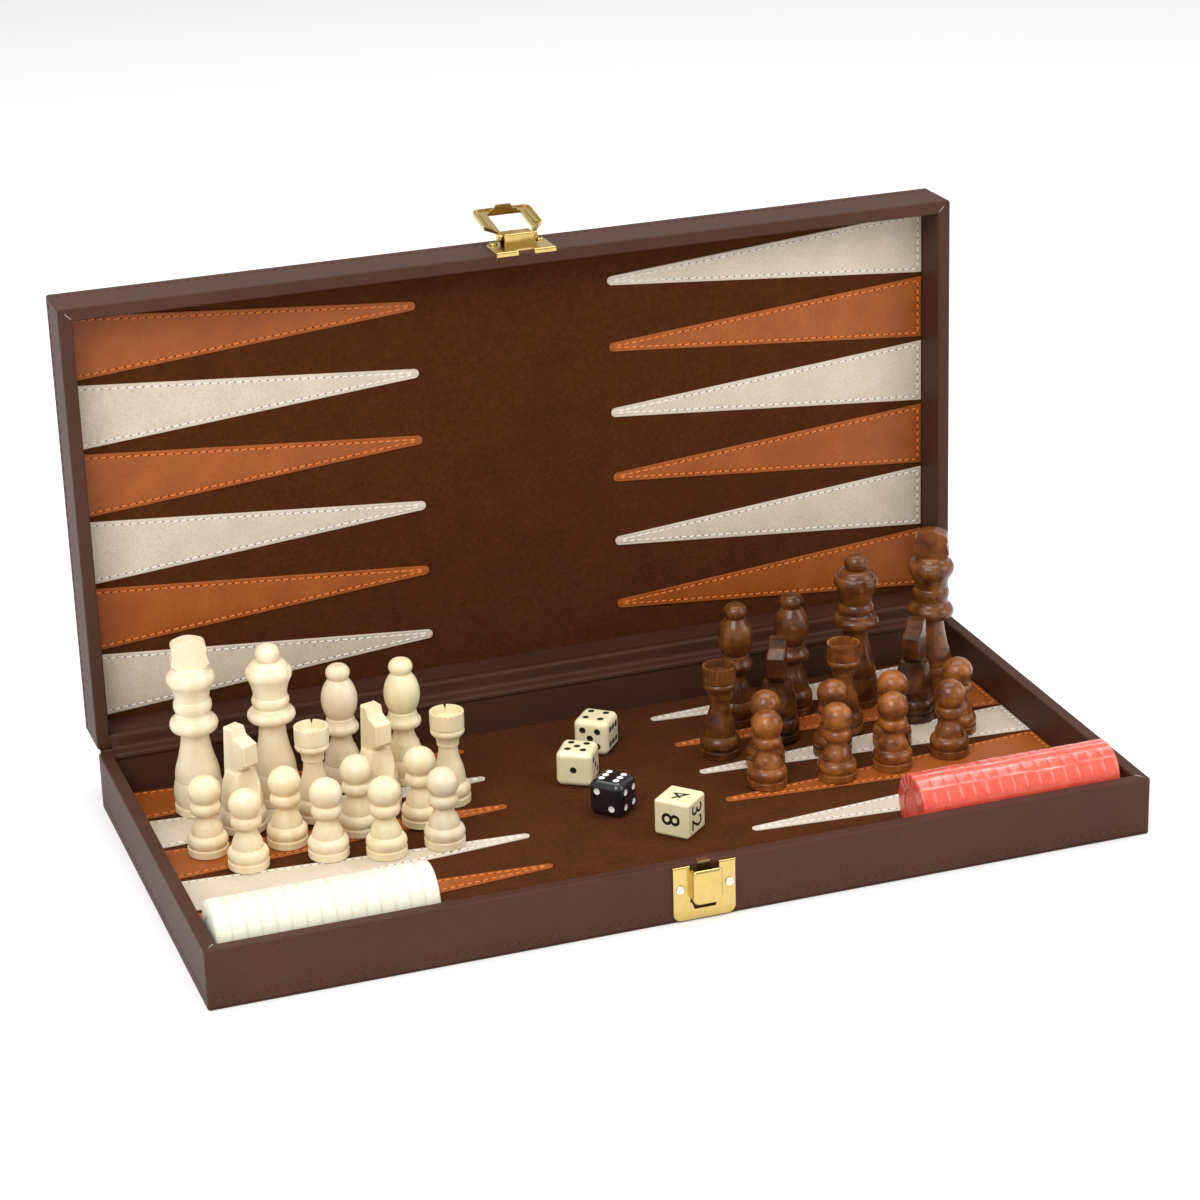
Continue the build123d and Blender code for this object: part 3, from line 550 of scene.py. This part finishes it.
# Relief of the sewn leather: distance from its edge, depth below its top
RELIEF = (
    (0.0, 0.30), (0.12, 0.14), (0.32, 0.05), (0.8, 0.02), (1.25, 0.05),
    (1.7, 0.15), (2.15, 0.05), (2.9, 0.01), (4.2, 0.0),
)


def relief(distance):
    for (d0, h0), (d1, h1) in zip(RELIEF, RELIEF[1:]):
        if distance <= d1:
            share = (distance - d0) / (d1 - d0)
            return h0 + (h1 - h0) * share
    return 0.0


def half_width(x):
    """Half the width of a point at a distance from the middle of the board."""
    reach = POINT_TIP + TIP_RADIUS
    if x < reach:
        return math.sqrt(max(0.0, TIP_RADIUS ** 2 - (reach - x) ** 2))
    share = (x - reach) / (POINT_END - reach)
    return TIP_RADIUS + share * (POINT_WIDTH / 2 - TIP_RADIUS)


def leather_point(verts, faces, side, y):
    """One sewn triangle as a closed shell: a relieved top, straight edges and a flat underside."""
    xs = [POINT_TIP + 0.02, 41.6, 41.85, 42.2, 42.7, 43.2, 43.6, 44.5, 46.0, 48.0]
    while xs[-1] < POINT_END - 6:
        xs.append(xs[-1] + 3.2)
    xs += [POINT_END - d for d, _ in reversed(RELIEF)]
    reach = RELIEF[-1][0]
    columns = 2 * len(RELIEF) + 3
    first = len(verts)
    for x in xs:
        wide = half_width(x)
        squeeze = min(1.0, 0.85 * wide / reach)
        offsets = [d * squeeze for d, _ in RELIEF]
        inner = wide - offsets[-1]
        across = [-wide + d for d in offsets]
        across += [-0.5 * inner, 0.0, 0.5 * inner]
        across += [wide - d for d in reversed(offsets)]
        for v in across:
            edge = min(wide - abs(v), POINT_END - x)
            depth = max(relief((wide - abs(v)) / max(squeeze, 1e-6)), relief(POINT_END - x))
            wave = 0.035 * noise.noise(Vector((x * 0.14 + 7 * side, (y + v) * 0.2, 3.1)))
            soft = 0.0 if edge < 0.3 else abs(wave)
            verts.append((side * x, y + v, FLOOR + LEATHER - depth - soft))
    top = grid_faces(len(xs), columns, first)
    if side > 0:
        top = [tuple(reversed(f)) for f in top]
    rows = len(xs)
    rim = [first + j for j in range(columns)]
    rim += [first + i * columns + columns - 1 for i in range(1, rows)]
    rim += [first + (rows - 1) * columns + j for j in range(columns - 2, -1, -1)]
    rim += [first + i * columns for i in range(rows - 2, 0, -1)]
    low = len(verts)
    for index in rim:
        x, v, _ = verts[index]
        verts.append((x, v, FLOOR + 0.01))
    count = len(rim)
    skirt = []
    for k in range(count):
        skirt.append((rim[k], rim[(k + 1) % count], low + (k + 1) % count, low + k))
    bottom = tuple(low + k for k in range(count))
    if side > 0:
        skirt = [tuple(reversed(f)) for f in skirt]
        bottom = tuple(reversed(bottom))
    faces += [tuple(reversed(f)) for f in top]
    faces += skirt
    faces.append(bottom)


def point_rows(colour, half):
    rows = []
    for side in (-1, 1):
        for row in range(POINTS):
            y = SPINE[half] * ((POINTS - 1) / 2 - row) * POINT_PITCH
            even_is_tan = (side == -1) == (half == "base")
            tan = (row % 2 == 0) == even_is_tan
            if tan == (colour == "tan"):
                rows.append((side, y))
    return rows


def sewn_points(half, colour, material, thread_material):
    verts, faces = [], []
    sewing = Stitches(STITCH_PITCH, THREAD_RADIUS, 11 if colour == "tan" else 12)
    top = FLOOR + LEATHER - 0.10
    for side, y in point_rows(colour, half):
        leather_point(verts, faces, side, y)
        start, end = POINT_TIP + 2.6, POINT_END - STITCH_INSET
        for edge in (-1, 1):
            sewing.run(
                (side * start, y + edge * 0.35, top),
                (side * end, y + edge * (half_width(end) - STITCH_INSET), top),
                (0, 0, 1),
            )
        reach = half_width(end) - STITCH_INSET
        sewing.run((side * end, y - reach, top), (side * end, y + reach, top), (0, 0, 1))
    leather_piece = make_piece(
        f"{half}_{colour}_leather", verts, faces, (material,), BODY[half], TRAYS[half]
    )
    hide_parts(f"{half}_{colour}_points")
    sewing.piece(f"{half}_{colour}_stitches", thread_material, BODY[half], TRAYS[half])


def suede_lining(half):
    """Suede glued to the tray's floor, a little uneven, its edges turned down against the walls."""
    long_side, short_side = LENGTH - 2 * WALL - 0.1, WIDTH - 2 * WALL - 0.1
    columns, rows = 124, 60
    verts = []
    for i in range(rows):
        for j in range(columns):
            x = long_side * (j / (columns - 1) - 0.5)
            y = short_side * (i / (rows - 1) - 0.5)
            low = 0.05 + 0.05 * noise.noise(Vector((x * 0.03, y * 0.03, 1.7 if half == "base" else 9.2)))
            edge = i in (0, rows - 1) or j in (0, columns - 1)
            verts.append((x, y, FLOOR - (0.25 if edge else max(0.0, low))))
    faces = grid_faces(rows, columns)
    sheet = make_piece(
        f"{half}_suede", verts, faces, (SUEDE,), BODY[half], TRAYS[half]
    )
    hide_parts(f"{half}_lining")


def wall_stitching(half):
    """One row of stitches round the outside of the walls, near the outer face."""
    sewing = Stitches(WALL_STITCH_PITCH, WALL_THREAD_RADIUS, 21, slant=4.0)
    height, corner = WALL_STITCH_UP, 2.0
    x, y = LENGTH / 2, WIDTH / 2
    for side in (-1, 1):
        sewing.run((-x + corner, side * y, height), (x - corner, side * y, height), (0, side, 0))
        sewing.run((side * x, -y + corner, height), (side * x, y - corner, height), (side, 0, 0))
    sewing.piece(f"{half}_wall_stitches", BROWN_THREAD, BODY[half], TRAYS[half])


for half in TRAYS:
    coat(f"{half}_wall_frame", WOOD)
    coat(f"{half}_wall_cover", LEATHERETTE)
    coat(f"{half}_outer_panel", LEATHERETTE)
    coat(f"{half}_board_squares", CREAM)
    suede_lining(half)
    sewn_points(half, "tan", TAN, ORANGE_THREAD)
    sewn_points(half, "cream", CREAM, WHITE_THREAD)
    wall_stitching(half)


# ---------------------------------------------------------------- hinge and case trim


def thin_sheet(name, profile, thick, half_long, stations, ripple, seed):
    """A strip of leatherette along x: a profile of (y, z) points given a thickness, shaped round the hinge
    as the case stands open; it rides on neither half.
    """
    normals = []
    for k in range(len(profile)):
        before, after = profile[max(0, k - 1)], profile[min(len(profile) - 1, k + 1)]
        dy, dz = after[0] - before[0], after[1] - before[1]
        long = math.hypot(dy, dz)
        normals.append((dz / long, -dy / long))
    loop = [(y, z) for y, z in profile]
    loop += [
        (y + thick * ny, z + thick * nz)
        for (y, z), (ny, nz) in reversed(list(zip(profile, normals)))
    ]
    verts = []
    for i in range(stations):
        share = i / (stations - 1)
        x = half_long * (2 * share - 1)
        curl = max(0.0, 1 - (half_long - abs(x)) / 1.6)
        for k, (y, z) in enumerate(loop):
            rank = k if k < len(profile) else len(loop) - 1 - k
            ny, nz = normals[rank]
            sway = ripple * noise.noise(Vector((x * 0.045, rank * 0.35, seed)))
            lift = 0.22 * curl * curl - max(0.0, sway)
            verts.append((x, y - ny * lift, z - nz * lift))
    faces = grid_faces(stations, len(loop), wrap=True)
    faces.append(tuple(range(len(loop) - 1, -1, -1)))
    faces.append(tuple((stations - 1) * len(loop) + k for k in range(len(loop))))
    made = make_piece(name, verts, faces, (LEATHERETTE,), None)
    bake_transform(made)
    return made


RIM_IN = WIDTH / 2 - WALL
INNER_STRIP = [
    (RIM_IN - 0.12, 21.9), (RIM_IN - 0.14, 22.8), (RIM_IN - 0.10, 23.5), (RIM_IN + 0.12, 24.02),
    (RIM_IN + 0.6, 24.3), (RIM_IN + 1.5, 24.34), (RIM_IN + 3.0, 24.34), (RIM_IN + 4.2, 24.36),
    (92.45, 24.46), (92.95, 24.75), (93.25, 25.2), (93.38, 25.8), (93.40, 26.8), (93.42, 28.2),
    (93.43, 29.2), (93.55, 29.9), (93.95, 30.32), (94.6, 30.48), (95.6, 30.5), (96.9, 30.46),
]
OUTER_STRIP = [
    (93.27, 10.0), (93.27, 12.0), (93.27, 17.0), (93.27, 22.6), (93.32, 23.5), (93.5, 24.1),
    (93.9, 24.38), (94.6, 24.42), (97.0, 24.38), (102.0, 24.29), (106.5, 24.21), (107.6, 24.19),
]
inner = thin_sheet(
    "hinge_inner", INNER_STRIP, 0.3, LENGTH / 2 - WALL - 0.4, 90, 0.07,
    4.2,
)
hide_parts("hinge_strip")
thin_sheet(
    "hinge_outer", OUTER_STRIP, 0.25, LENGTH / 2 - 1.0, 60, 0.04,
    8.8,
)


def outline(long_side, short_side, radius, steps=4):
    """Points round a rounded rectangle, anticlockwise."""
    points = []
    for cx, cy, start in ((1, 1, 0), (-1, 1, 90), (-1, -1, 180), (1, -1, 270)):
        for k in range(steps + 1):
            angle = math.radians(start + 90 * k / steps)
            points.append((
                cx * (long_side / 2 - radius) + radius * math.cos(angle),
                cy * (short_side / 2 - radius) + radius * math.sin(angle),
            ))
    return points


def seam_line(half):
    """Painted shade in the gap where the wall covering meets the panel's, round the outside: a thin dark
    band.
    """
    verts = []
    for out, z in ((-0.05, 0.86), (0.03, 0.90), (0.03, 1.12), (-0.05, 1.16)):
        for x, y in outline(LENGTH + 2 * out, WIDTH + 2 * out, 1.2):
            verts.append((x, y, z))
    around = len(verts) // 4
    faces = grid_faces(4, around, wrap=True)
    faces += [(k, 3 * around + k, 3 * around + (k + 1) % around, (k + 1) % around) for k in range(around)]
    make_piece(f"{half}_seam", verts, faces, (DARK_SHADE_PAINT,), BODY[half], TRAYS[half])


def mitre_folds(half):
    """Where the covering is folded at each corner of the rim: a low ridge, and at the two corners away from
    the spine a pale fibre beside it.
    """
    verts, faces, which = [], [], []
    for cx in (-1, 1):
        for cy in (-1, 1):
            start = Vector((cx * (LENGTH / 2 - 0.9), cy * (WIDTH / 2 - 0.9), HEIGHT - 0.02))
            end = Vector((cx * (LENGTH / 2 - WALL + 0.5), cy * (WIDTH / 2 - WALL + 0.5), HEIGHT - 0.02))
            across = Vector((-cx * cy, 1, 0)).normalized()
            for wide, high, share0, share1, shift, kind in (
                (0.55, 0.12, 0.0, 1.0, 0.0, 0), (0.10, 0.13, 0.35, 1.0, 0.42, 1),
            ):
                if kind and cy != -SPINE[half]:
                    continue
                first = len(verts)
                steps = 7
                for i in range(steps):
                    share = share0 + (share1 - share0) * i / (steps - 1)
                    taper = math.sin(math.pi * min(0.97, max(0.03, i / (steps - 1)))) ** 0.4
                    middle = start.lerp(end, share) + across * shift
                    for side, lift in ((-1, -0.05), (-0.5, 0.6), (0, 1), (0.5, 0.6), (1, -0.05)):
                        raised = Vector((0, 0, high * lift * taper))
                        verts.append(middle + across * side * wide * taper + raised)
                made = grid_faces(steps, 5, first)
                faces += made
                which += [kind] * len(made)
    make_piece(
        f"{half}_mitres", verts, faces, (LEATHERETTE, WHITE_THREAD), BODY[half],
        TRAYS[half], which,
    )


for half in TRAYS:
    seam_line(half)
    mitre_folds(half)


# ---------------------------------------------------------------- hardware

for node in ("catch_plate", "latch_plate", "latch_lever", "latch_screws"):
    coat(node, BRASS)
coat("catch_screws", STEEL)


# ---------------------------------------------------------------- chessmen

KINDS = ["king", "queen", "bishop_1", "bishop_2", "knight_1", "knight_2", "rook_1", "rook_2"]
KINDS += [f"pawn_{number}" for number in range(1, 9)]
shades = random.Random(5)
for number, kind in enumerate(KINDS):
    warm = shades.uniform(0.93, 1.04)
    tint = (warm, warm * shades.uniform(0.97, 1.01), warm * shades.uniform(0.9, 1.04))
    coat("light_" + kind, light_wood("wood_light_" + kind, tint, number * 1.3))
HONEY = (0.40, 0.135, 0.022)
RED_BROWN = (0.105, 0.024, 0.0055)
DARKNESS = {
    "king": 0.62, "queen": 0.55, "bishop_1": 0.5, "bishop_2": 0.5,
    "knight_1": 0.32, "knight_2": 0.32, "rook_1": 0.5, "rook_2": 0.85,
}
for number, kind in enumerate(KINDS):
    level = DARKNESS.get(kind, shades.uniform(0.75, 1.1))
    honey = tuple(level * c for c in HONEY)
    deep = tuple(level * c for c in RED_BROWN)
    coat("dark_" + kind, dark_wood("wood_dark_" + kind, honey, deep, number * 1.7))


# ---------------------------------------------------------------- dice

PIP_RADIUS = 1.36
PIP_SPREAD = 0.215
# node: turn, corner radius, and the pips on its top, front-left and front-right faces
DICE = {
    "ivory_die_1": (50.1, 2.7, (4, 5, 6), BLACK_PAINT),
    "ivory_die_2": (57.2, 2.7, (5, 1, 3), BLACK_PAINT),
    "black_die": (41.5, 3.4, (6, 2, 4), WHITE_PAINT),
}


def die_faces(node, turn):
    """Frame matrices of a cube's faces, and its size.

    The order is top, underside, front-left, its opposite, front-right, its opposite.
    """
    low, high = (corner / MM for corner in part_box(node))
    middle, size = (low + high) / 2, high.z - low.z
    angle = math.radians(turn)
    x_dir = Vector((math.cos(angle), math.sin(angle), 0))
    y_dir = Vector((-math.sin(angle), math.cos(angle), 0))
    z_dir = Vector((0, 0, 1))
    frames = []
    for out, across in (
        (z_dir, x_dir), (-z_dir, x_dir), (-x_dir, y_dir), (x_dir, y_dir), (-y_dir, x_dir), (y_dir, x_dir),
    ):
        up = out.cross(across)
        matrix = Matrix((
            (across.x, up.x, out.x), (across.y, up.y, out.y), (across.z, up.z, out.z),
        )).to_4x4()
        matrix.translation = middle + out * size / 2
        frames.append(matrix)
    return frames, size


def pip_places(count, spread):
    corners = [(spread, -spread), (-spread, spread), (-spread, -spread), (spread, spread)]
    return {
        1: [(0, 0)],
        2: corners[:2],
        3: corners[:2] + [(0, 0)],
        4: corners,
        5: corners + [(0, 0)],
        6: corners + [(0, -spread), (0, spread)],
    }[count]


def fall(u, v, flat, corner):
    """How far a rounded cube's surface lies below its face at a point of that face."""
    over = max(0.0, abs(u) - flat) ** 2 + max(0.0, abs(v) - flat) ** 2
    return corner - math.sqrt(corner * corner - over)


def pips(node, turn, corner, shown, paint):
    """Painted bowls in the drilled pips, following the rounding of the faces."""
    frames, size = die_faces(node, turn)
    flat = size / 2 - corner
    verts, faces = [], []
    around, rings = 20, 6
    numbers = [n for value in shown for n in (value, 7 - value)]
    for matrix, count in zip(frames, numbers):
        for u, v in pip_places(count, PIP_SPREAD * size):
            first = len(verts)
            for ring in range(rings + 1):
                share = 1 - ring / rings
                for k in range(around if ring < rings else 1):
                    angle = 2 * math.pi * k / around
                    x = u + PIP_RADIUS * share * math.cos(angle)
                    y = v + PIP_RADIUS * share * math.sin(angle)
                    deep = fall(x, y, flat, corner) + 0.06 + 0.30 * (1 - share * share)
                    verts.append(matrix @ Vector((x, y, -min(0.55, deep))))
            faces += grid_faces(rings, around, first, wrap=True)
            last = first + (rings - 1) * around
            faces += [(last + k, last + (k + 1) % around, first + rings * around) for k in range(around)]
    make_piece(f"{node}_pips", verts, faces, (paint,), node)


for node, (turn, corner, shown, paint) in DICE.items():
    coat(node, BLACK if node == "black_die" else IVORY)
    pips(node, turn, corner, shown, paint)
coat("doubling_cube", IVORY)

CUBE_TURN = 41.7
# text, turn on its face, size and thickening of its strokes, in the faces' order
NUMERALS = (
    ("4", 232, 11.4, 0.0), ("16", 0, 10.4, 0.0), ("8", 90, 11.2, 0.008),
    ("64", 0, 10.4, 0.0), ("32", -90, 11.4, 0.0), ("2", 0, 11.2, 0.008),
)


def numeral(text, matrix, turn, height, stroke):
    """A generic engraved and blackened number on a face of the doubling cube."""
    curve = bpy.data.curves.new(f"numeral_{text}", "FONT")
    curve.body = text
    curve.size = height
    curve.align_x = "CENTER"
    curve.align_y = "CENTER"
    curve.offset = stroke * height
    curve.extrude = 0.04
    curve.resolution_u = 8
    holder = bpy.data.objects.new(f"numeral_{text}_curve", curve)
    bpy.context.scene.collection.objects.link(holder)
    bpy.context.view_layer.update()
    shape = bpy.data.meshes.new_from_object(holder.evaluated_get(bpy.context.evaluated_depsgraph_get()))
    bpy.data.objects.remove(holder)
    xs = [v.co.x for v in shape.vertices]
    ys = [v.co.y for v in shape.vertices]
    centre = Vector(((min(xs) + max(xs)) / 2, (min(ys) + max(ys)) / 2, 0))
    spin = Matrix.Rotation(math.radians(turn), 4, "Z")
    verts = [matrix @ (spin @ (v.co - centre)) for v in shape.vertices]
    faces = [tuple(p.vertices) for p in shape.polygons]
    bpy.data.meshes.remove(shape)
    make_piece(
        f"cube_numeral_{text}", verts, faces, (BLACK_PAINT,), "doubling_cube", smooth=False
    )


cube_frames, _ = die_faces("doubling_cube", CUBE_TURN)
for (text, turn, height, stroke), matrix in zip(NUMERALS, cube_frames):
    numeral(text, matrix, turn, height, stroke)


# ---------------------------------------------------------------- checkers

CHECKERS = 15
SKIN_RADIUS = 12.72


def film_paint(name, body_colour, deep, fold_glare_and_joint_shade, roughness, coat_weight, crease):
    """Shrunk film over plastic discs: their colour, mixed by a point attribute towards a second colour. On
    the red film that colour is pale: the folds where the film stands off, with a painted highlight on them.
    On the light film it is darker: painted shade in the grooves between the discs, and a faint darker line
    along one fold.
    """
    paint = Paint(name, roughness, Coat_Weight=coat_weight, Coat_Roughness=0.06, Subsurface_Weight=0.12)
    paint.shader.inputs["Subsurface Scale"].default_value = 1.0 * MM
    fold_glare_and_shade = paint.node("ShaderNodeAttribute", attribute_name="film_fold_glare_and_shade").outputs["Fac"]
    cloud = paint.noise(4.0, 3.0)
    base = paint.mix(paint.ramp(cloud, (0.3, 0.0), (0.7, 1.0)), deep, body_colour)
    # the attribute mixes in the second colour: painted highlight on the red folds, painted shade in the
    # light roll's grooves
    paint.colour(paint.mix(fold_glare_and_shade, base, fold_glare_and_joint_shade))
    wrinkles = paint.noise(1.6, 4.0, paint.stretched((0.35, 1, 1)), 0.62)
    paint.bump(wrinkles, 0.5, crease)
    return paint.material


RED_FILM = film_paint(
    "film_red", (0.78, 0.105, 0.058), (0.70, 0.062, 0.034), (0.95, 0.62, 0.57),
    roughness=0.3, coat_weight=0.7, crease=0.26,
)
LIGHT_FILM = film_paint(
    "film_light", (0.82, 0.81, 0.66), (0.76, 0.74, 0.57), (0.54, 0.47, 0.33),
    roughness=0.5, coat_weight=0.1, crease=0.14,
)


def film_skin(colour, material, groove, joint, crumple, folds, seed):
    """The film round a roll: it sinks between the discs, creases, and is gathered in over both ends. Each
    point also gets its share of the film's second colour: painted shade in the grooves between the discs,
    and the pale folds with their painted highlight.
    """
    low, high = (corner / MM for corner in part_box(f"{colour}_checkers"))
    middle = (low + high) / 2
    long_side = high.x - low.x
    around = 132
    stations = []
    for disc in range(CHECKERS):
        start = low.x + disc * long_side / CHECKERS
        for share in (0.0, 0.05, 0.12, 0.25, 0.42, 0.6, 0.75, 0.88, 0.95):
            depth = {0.0: 1.0, 0.05: 0.55, 0.95: 0.55, 0.12: 0.12, 0.88: 0.12}.get(share, 0.0)
            stations.append((start + share * long_side / CHECKERS, depth, 0.0))
    stations.append((high.x, 1.0, 0.0))
    stations[0] = (low.x, 0.6, 0.0)
    inwards = ((-0.22, 0.45), (-0.34, 1.1), (-0.36, 2.4), (-0.34, 4.4), (-0.30, 6.2))
    left = [(low.x + out, 0.0, sunk) for out, sunk in reversed(inwards)]
    right = [(high.x - out, 0.0, sunk) for out, sunk in inwards]
    stations = left + stations + right
    verts, fold_glare_and_shade_values = [], []
    for x, depth, sunk in stations:
        for k in range(around):
            angle = 2 * math.pi * k / around
            n = noise.noise(Vector((x * 0.22, 5.0 * math.cos(angle), 5.0 * math.sin(angle) + seed)))
            fine = noise.noise(Vector((x * 0.9 + seed, 9.0 * math.cos(angle), 9.0 * math.sin(angle))))
            radius = SKIN_RADIUS - groove * depth - sunk + crumple * (0.6 * n + 0.4 * fine)
            # painted shade goes into the grooves between the discs; each fold adds its share too, pale film
            # with a painted highlight on the red roll
            fold_glare_and_shade = joint * depth
            for where, wide, high_fold, strength in folds:
                bend = where + 0.07 * noise.noise(Vector((x * 0.05, where * 3, seed)))
                off = (angle - bend + math.pi) % (2 * math.pi) - math.pi
                swell = 0.6 + 0.8 * noise.noise(Vector((x * 0.12, where, 7.7)))
                peak = math.exp(-(off / wide) ** 2) * swell
                radius += high_fold * max(0.0, peak)
                fold_glare_and_shade = max(fold_glare_and_shade, strength * max(0.0, peak))
            if sunk > 1.0:
                radius += 0.35 * crumple * math.sin(22 * angle + 3 * n)
            verts.append((x, middle.y + radius * math.cos(angle), middle.z + radius * math.sin(angle)))
            fold_glare_and_shade_values.append(min(1.0, fold_glare_and_shade))
    faces = grid_faces(len(stations), around, wrap=True)
    made = make_piece(
        f"{colour}_film", verts, faces, (material,), f"{colour}_roll"
    )
    attribute = made.data.attributes.new("film_fold_glare_and_shade", "FLOAT", "POINT")
    attribute.data.foreach_set("value", fold_glare_and_shade_values)
    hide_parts(f"{colour}_wrap")
    return middle, low.x, high.x


def end_rings(colour, material, middle, ends):
    """Moulded concentric ridges on the outward faces of the end discs."""
    verts, faces = [], []
    around = 72
    for x, out in ends:
        first = len(verts)
        radii = [0.4 * step for step in range(1, 30)]
        for radius in radii:
            ridge = 0.5 + 0.5 * math.cos(2 * math.pi * radius / 1.2)
            lift = 0.02 + 0.13 * ridge * (1 if radius > 3.0 else 0.3)
            for k in range(around):
                angle = 2 * math.pi * k / around
                verts.append((
                    x + out * lift, middle.y + radius * math.cos(angle), middle.z + radius * math.sin(angle),
                ))
        made = grid_faces(len(radii), around, first, wrap=True)
        made.append(tuple(first + k for k in range(around)))
        faces += [tuple(reversed(f)) for f in made] if out > 0 else made
    make_piece(f"{colour}_end_faces", verts, faces, (material,), f"{colour}_roll")


# angle from +Y over the top, width, height and paleness of each lengthwise fold; the paleness is partly the
# film standing off and partly a painted highlight, and the folds lie over the top of the roll
RED_FOLDS = (
    (1.25, 0.035, 0.22, 0.9), (1.62, 0.03, 0.20, 0.95), (1.9, 0.05, 0.12, 0.6), (0.95, 0.06, 0.15, 0.8),
    (0.6, 0.09, 0.12, 0.8), (2.25, 0.022, 0.16, 0.75),
)
# the fifth value is the strength of the painted shade in the grooves between the discs; the red film has
# none
for colour, film, plastic_disc, groove, joint, crumple, folds, seed in (
    ("light", LIGHT_FILM, LIGHT_PLASTIC, 0.14, 0.55, 0.10, ((1.35, 0.05, 0.05, 0.2),), 3.3),
    ("red", RED_FILM, RED_PLASTIC, 0.22, 0.0, 0.16, RED_FOLDS, 6.1),
):
    coat(f"{colour}_checkers", plastic_disc)
    roll_middle, left_x, right_x = film_skin(colour, film, groove, joint, crumple, folds, seed)
    end_rings(colour, plastic_disc, roll_middle, ((left_x, -1), (right_x, 1)))
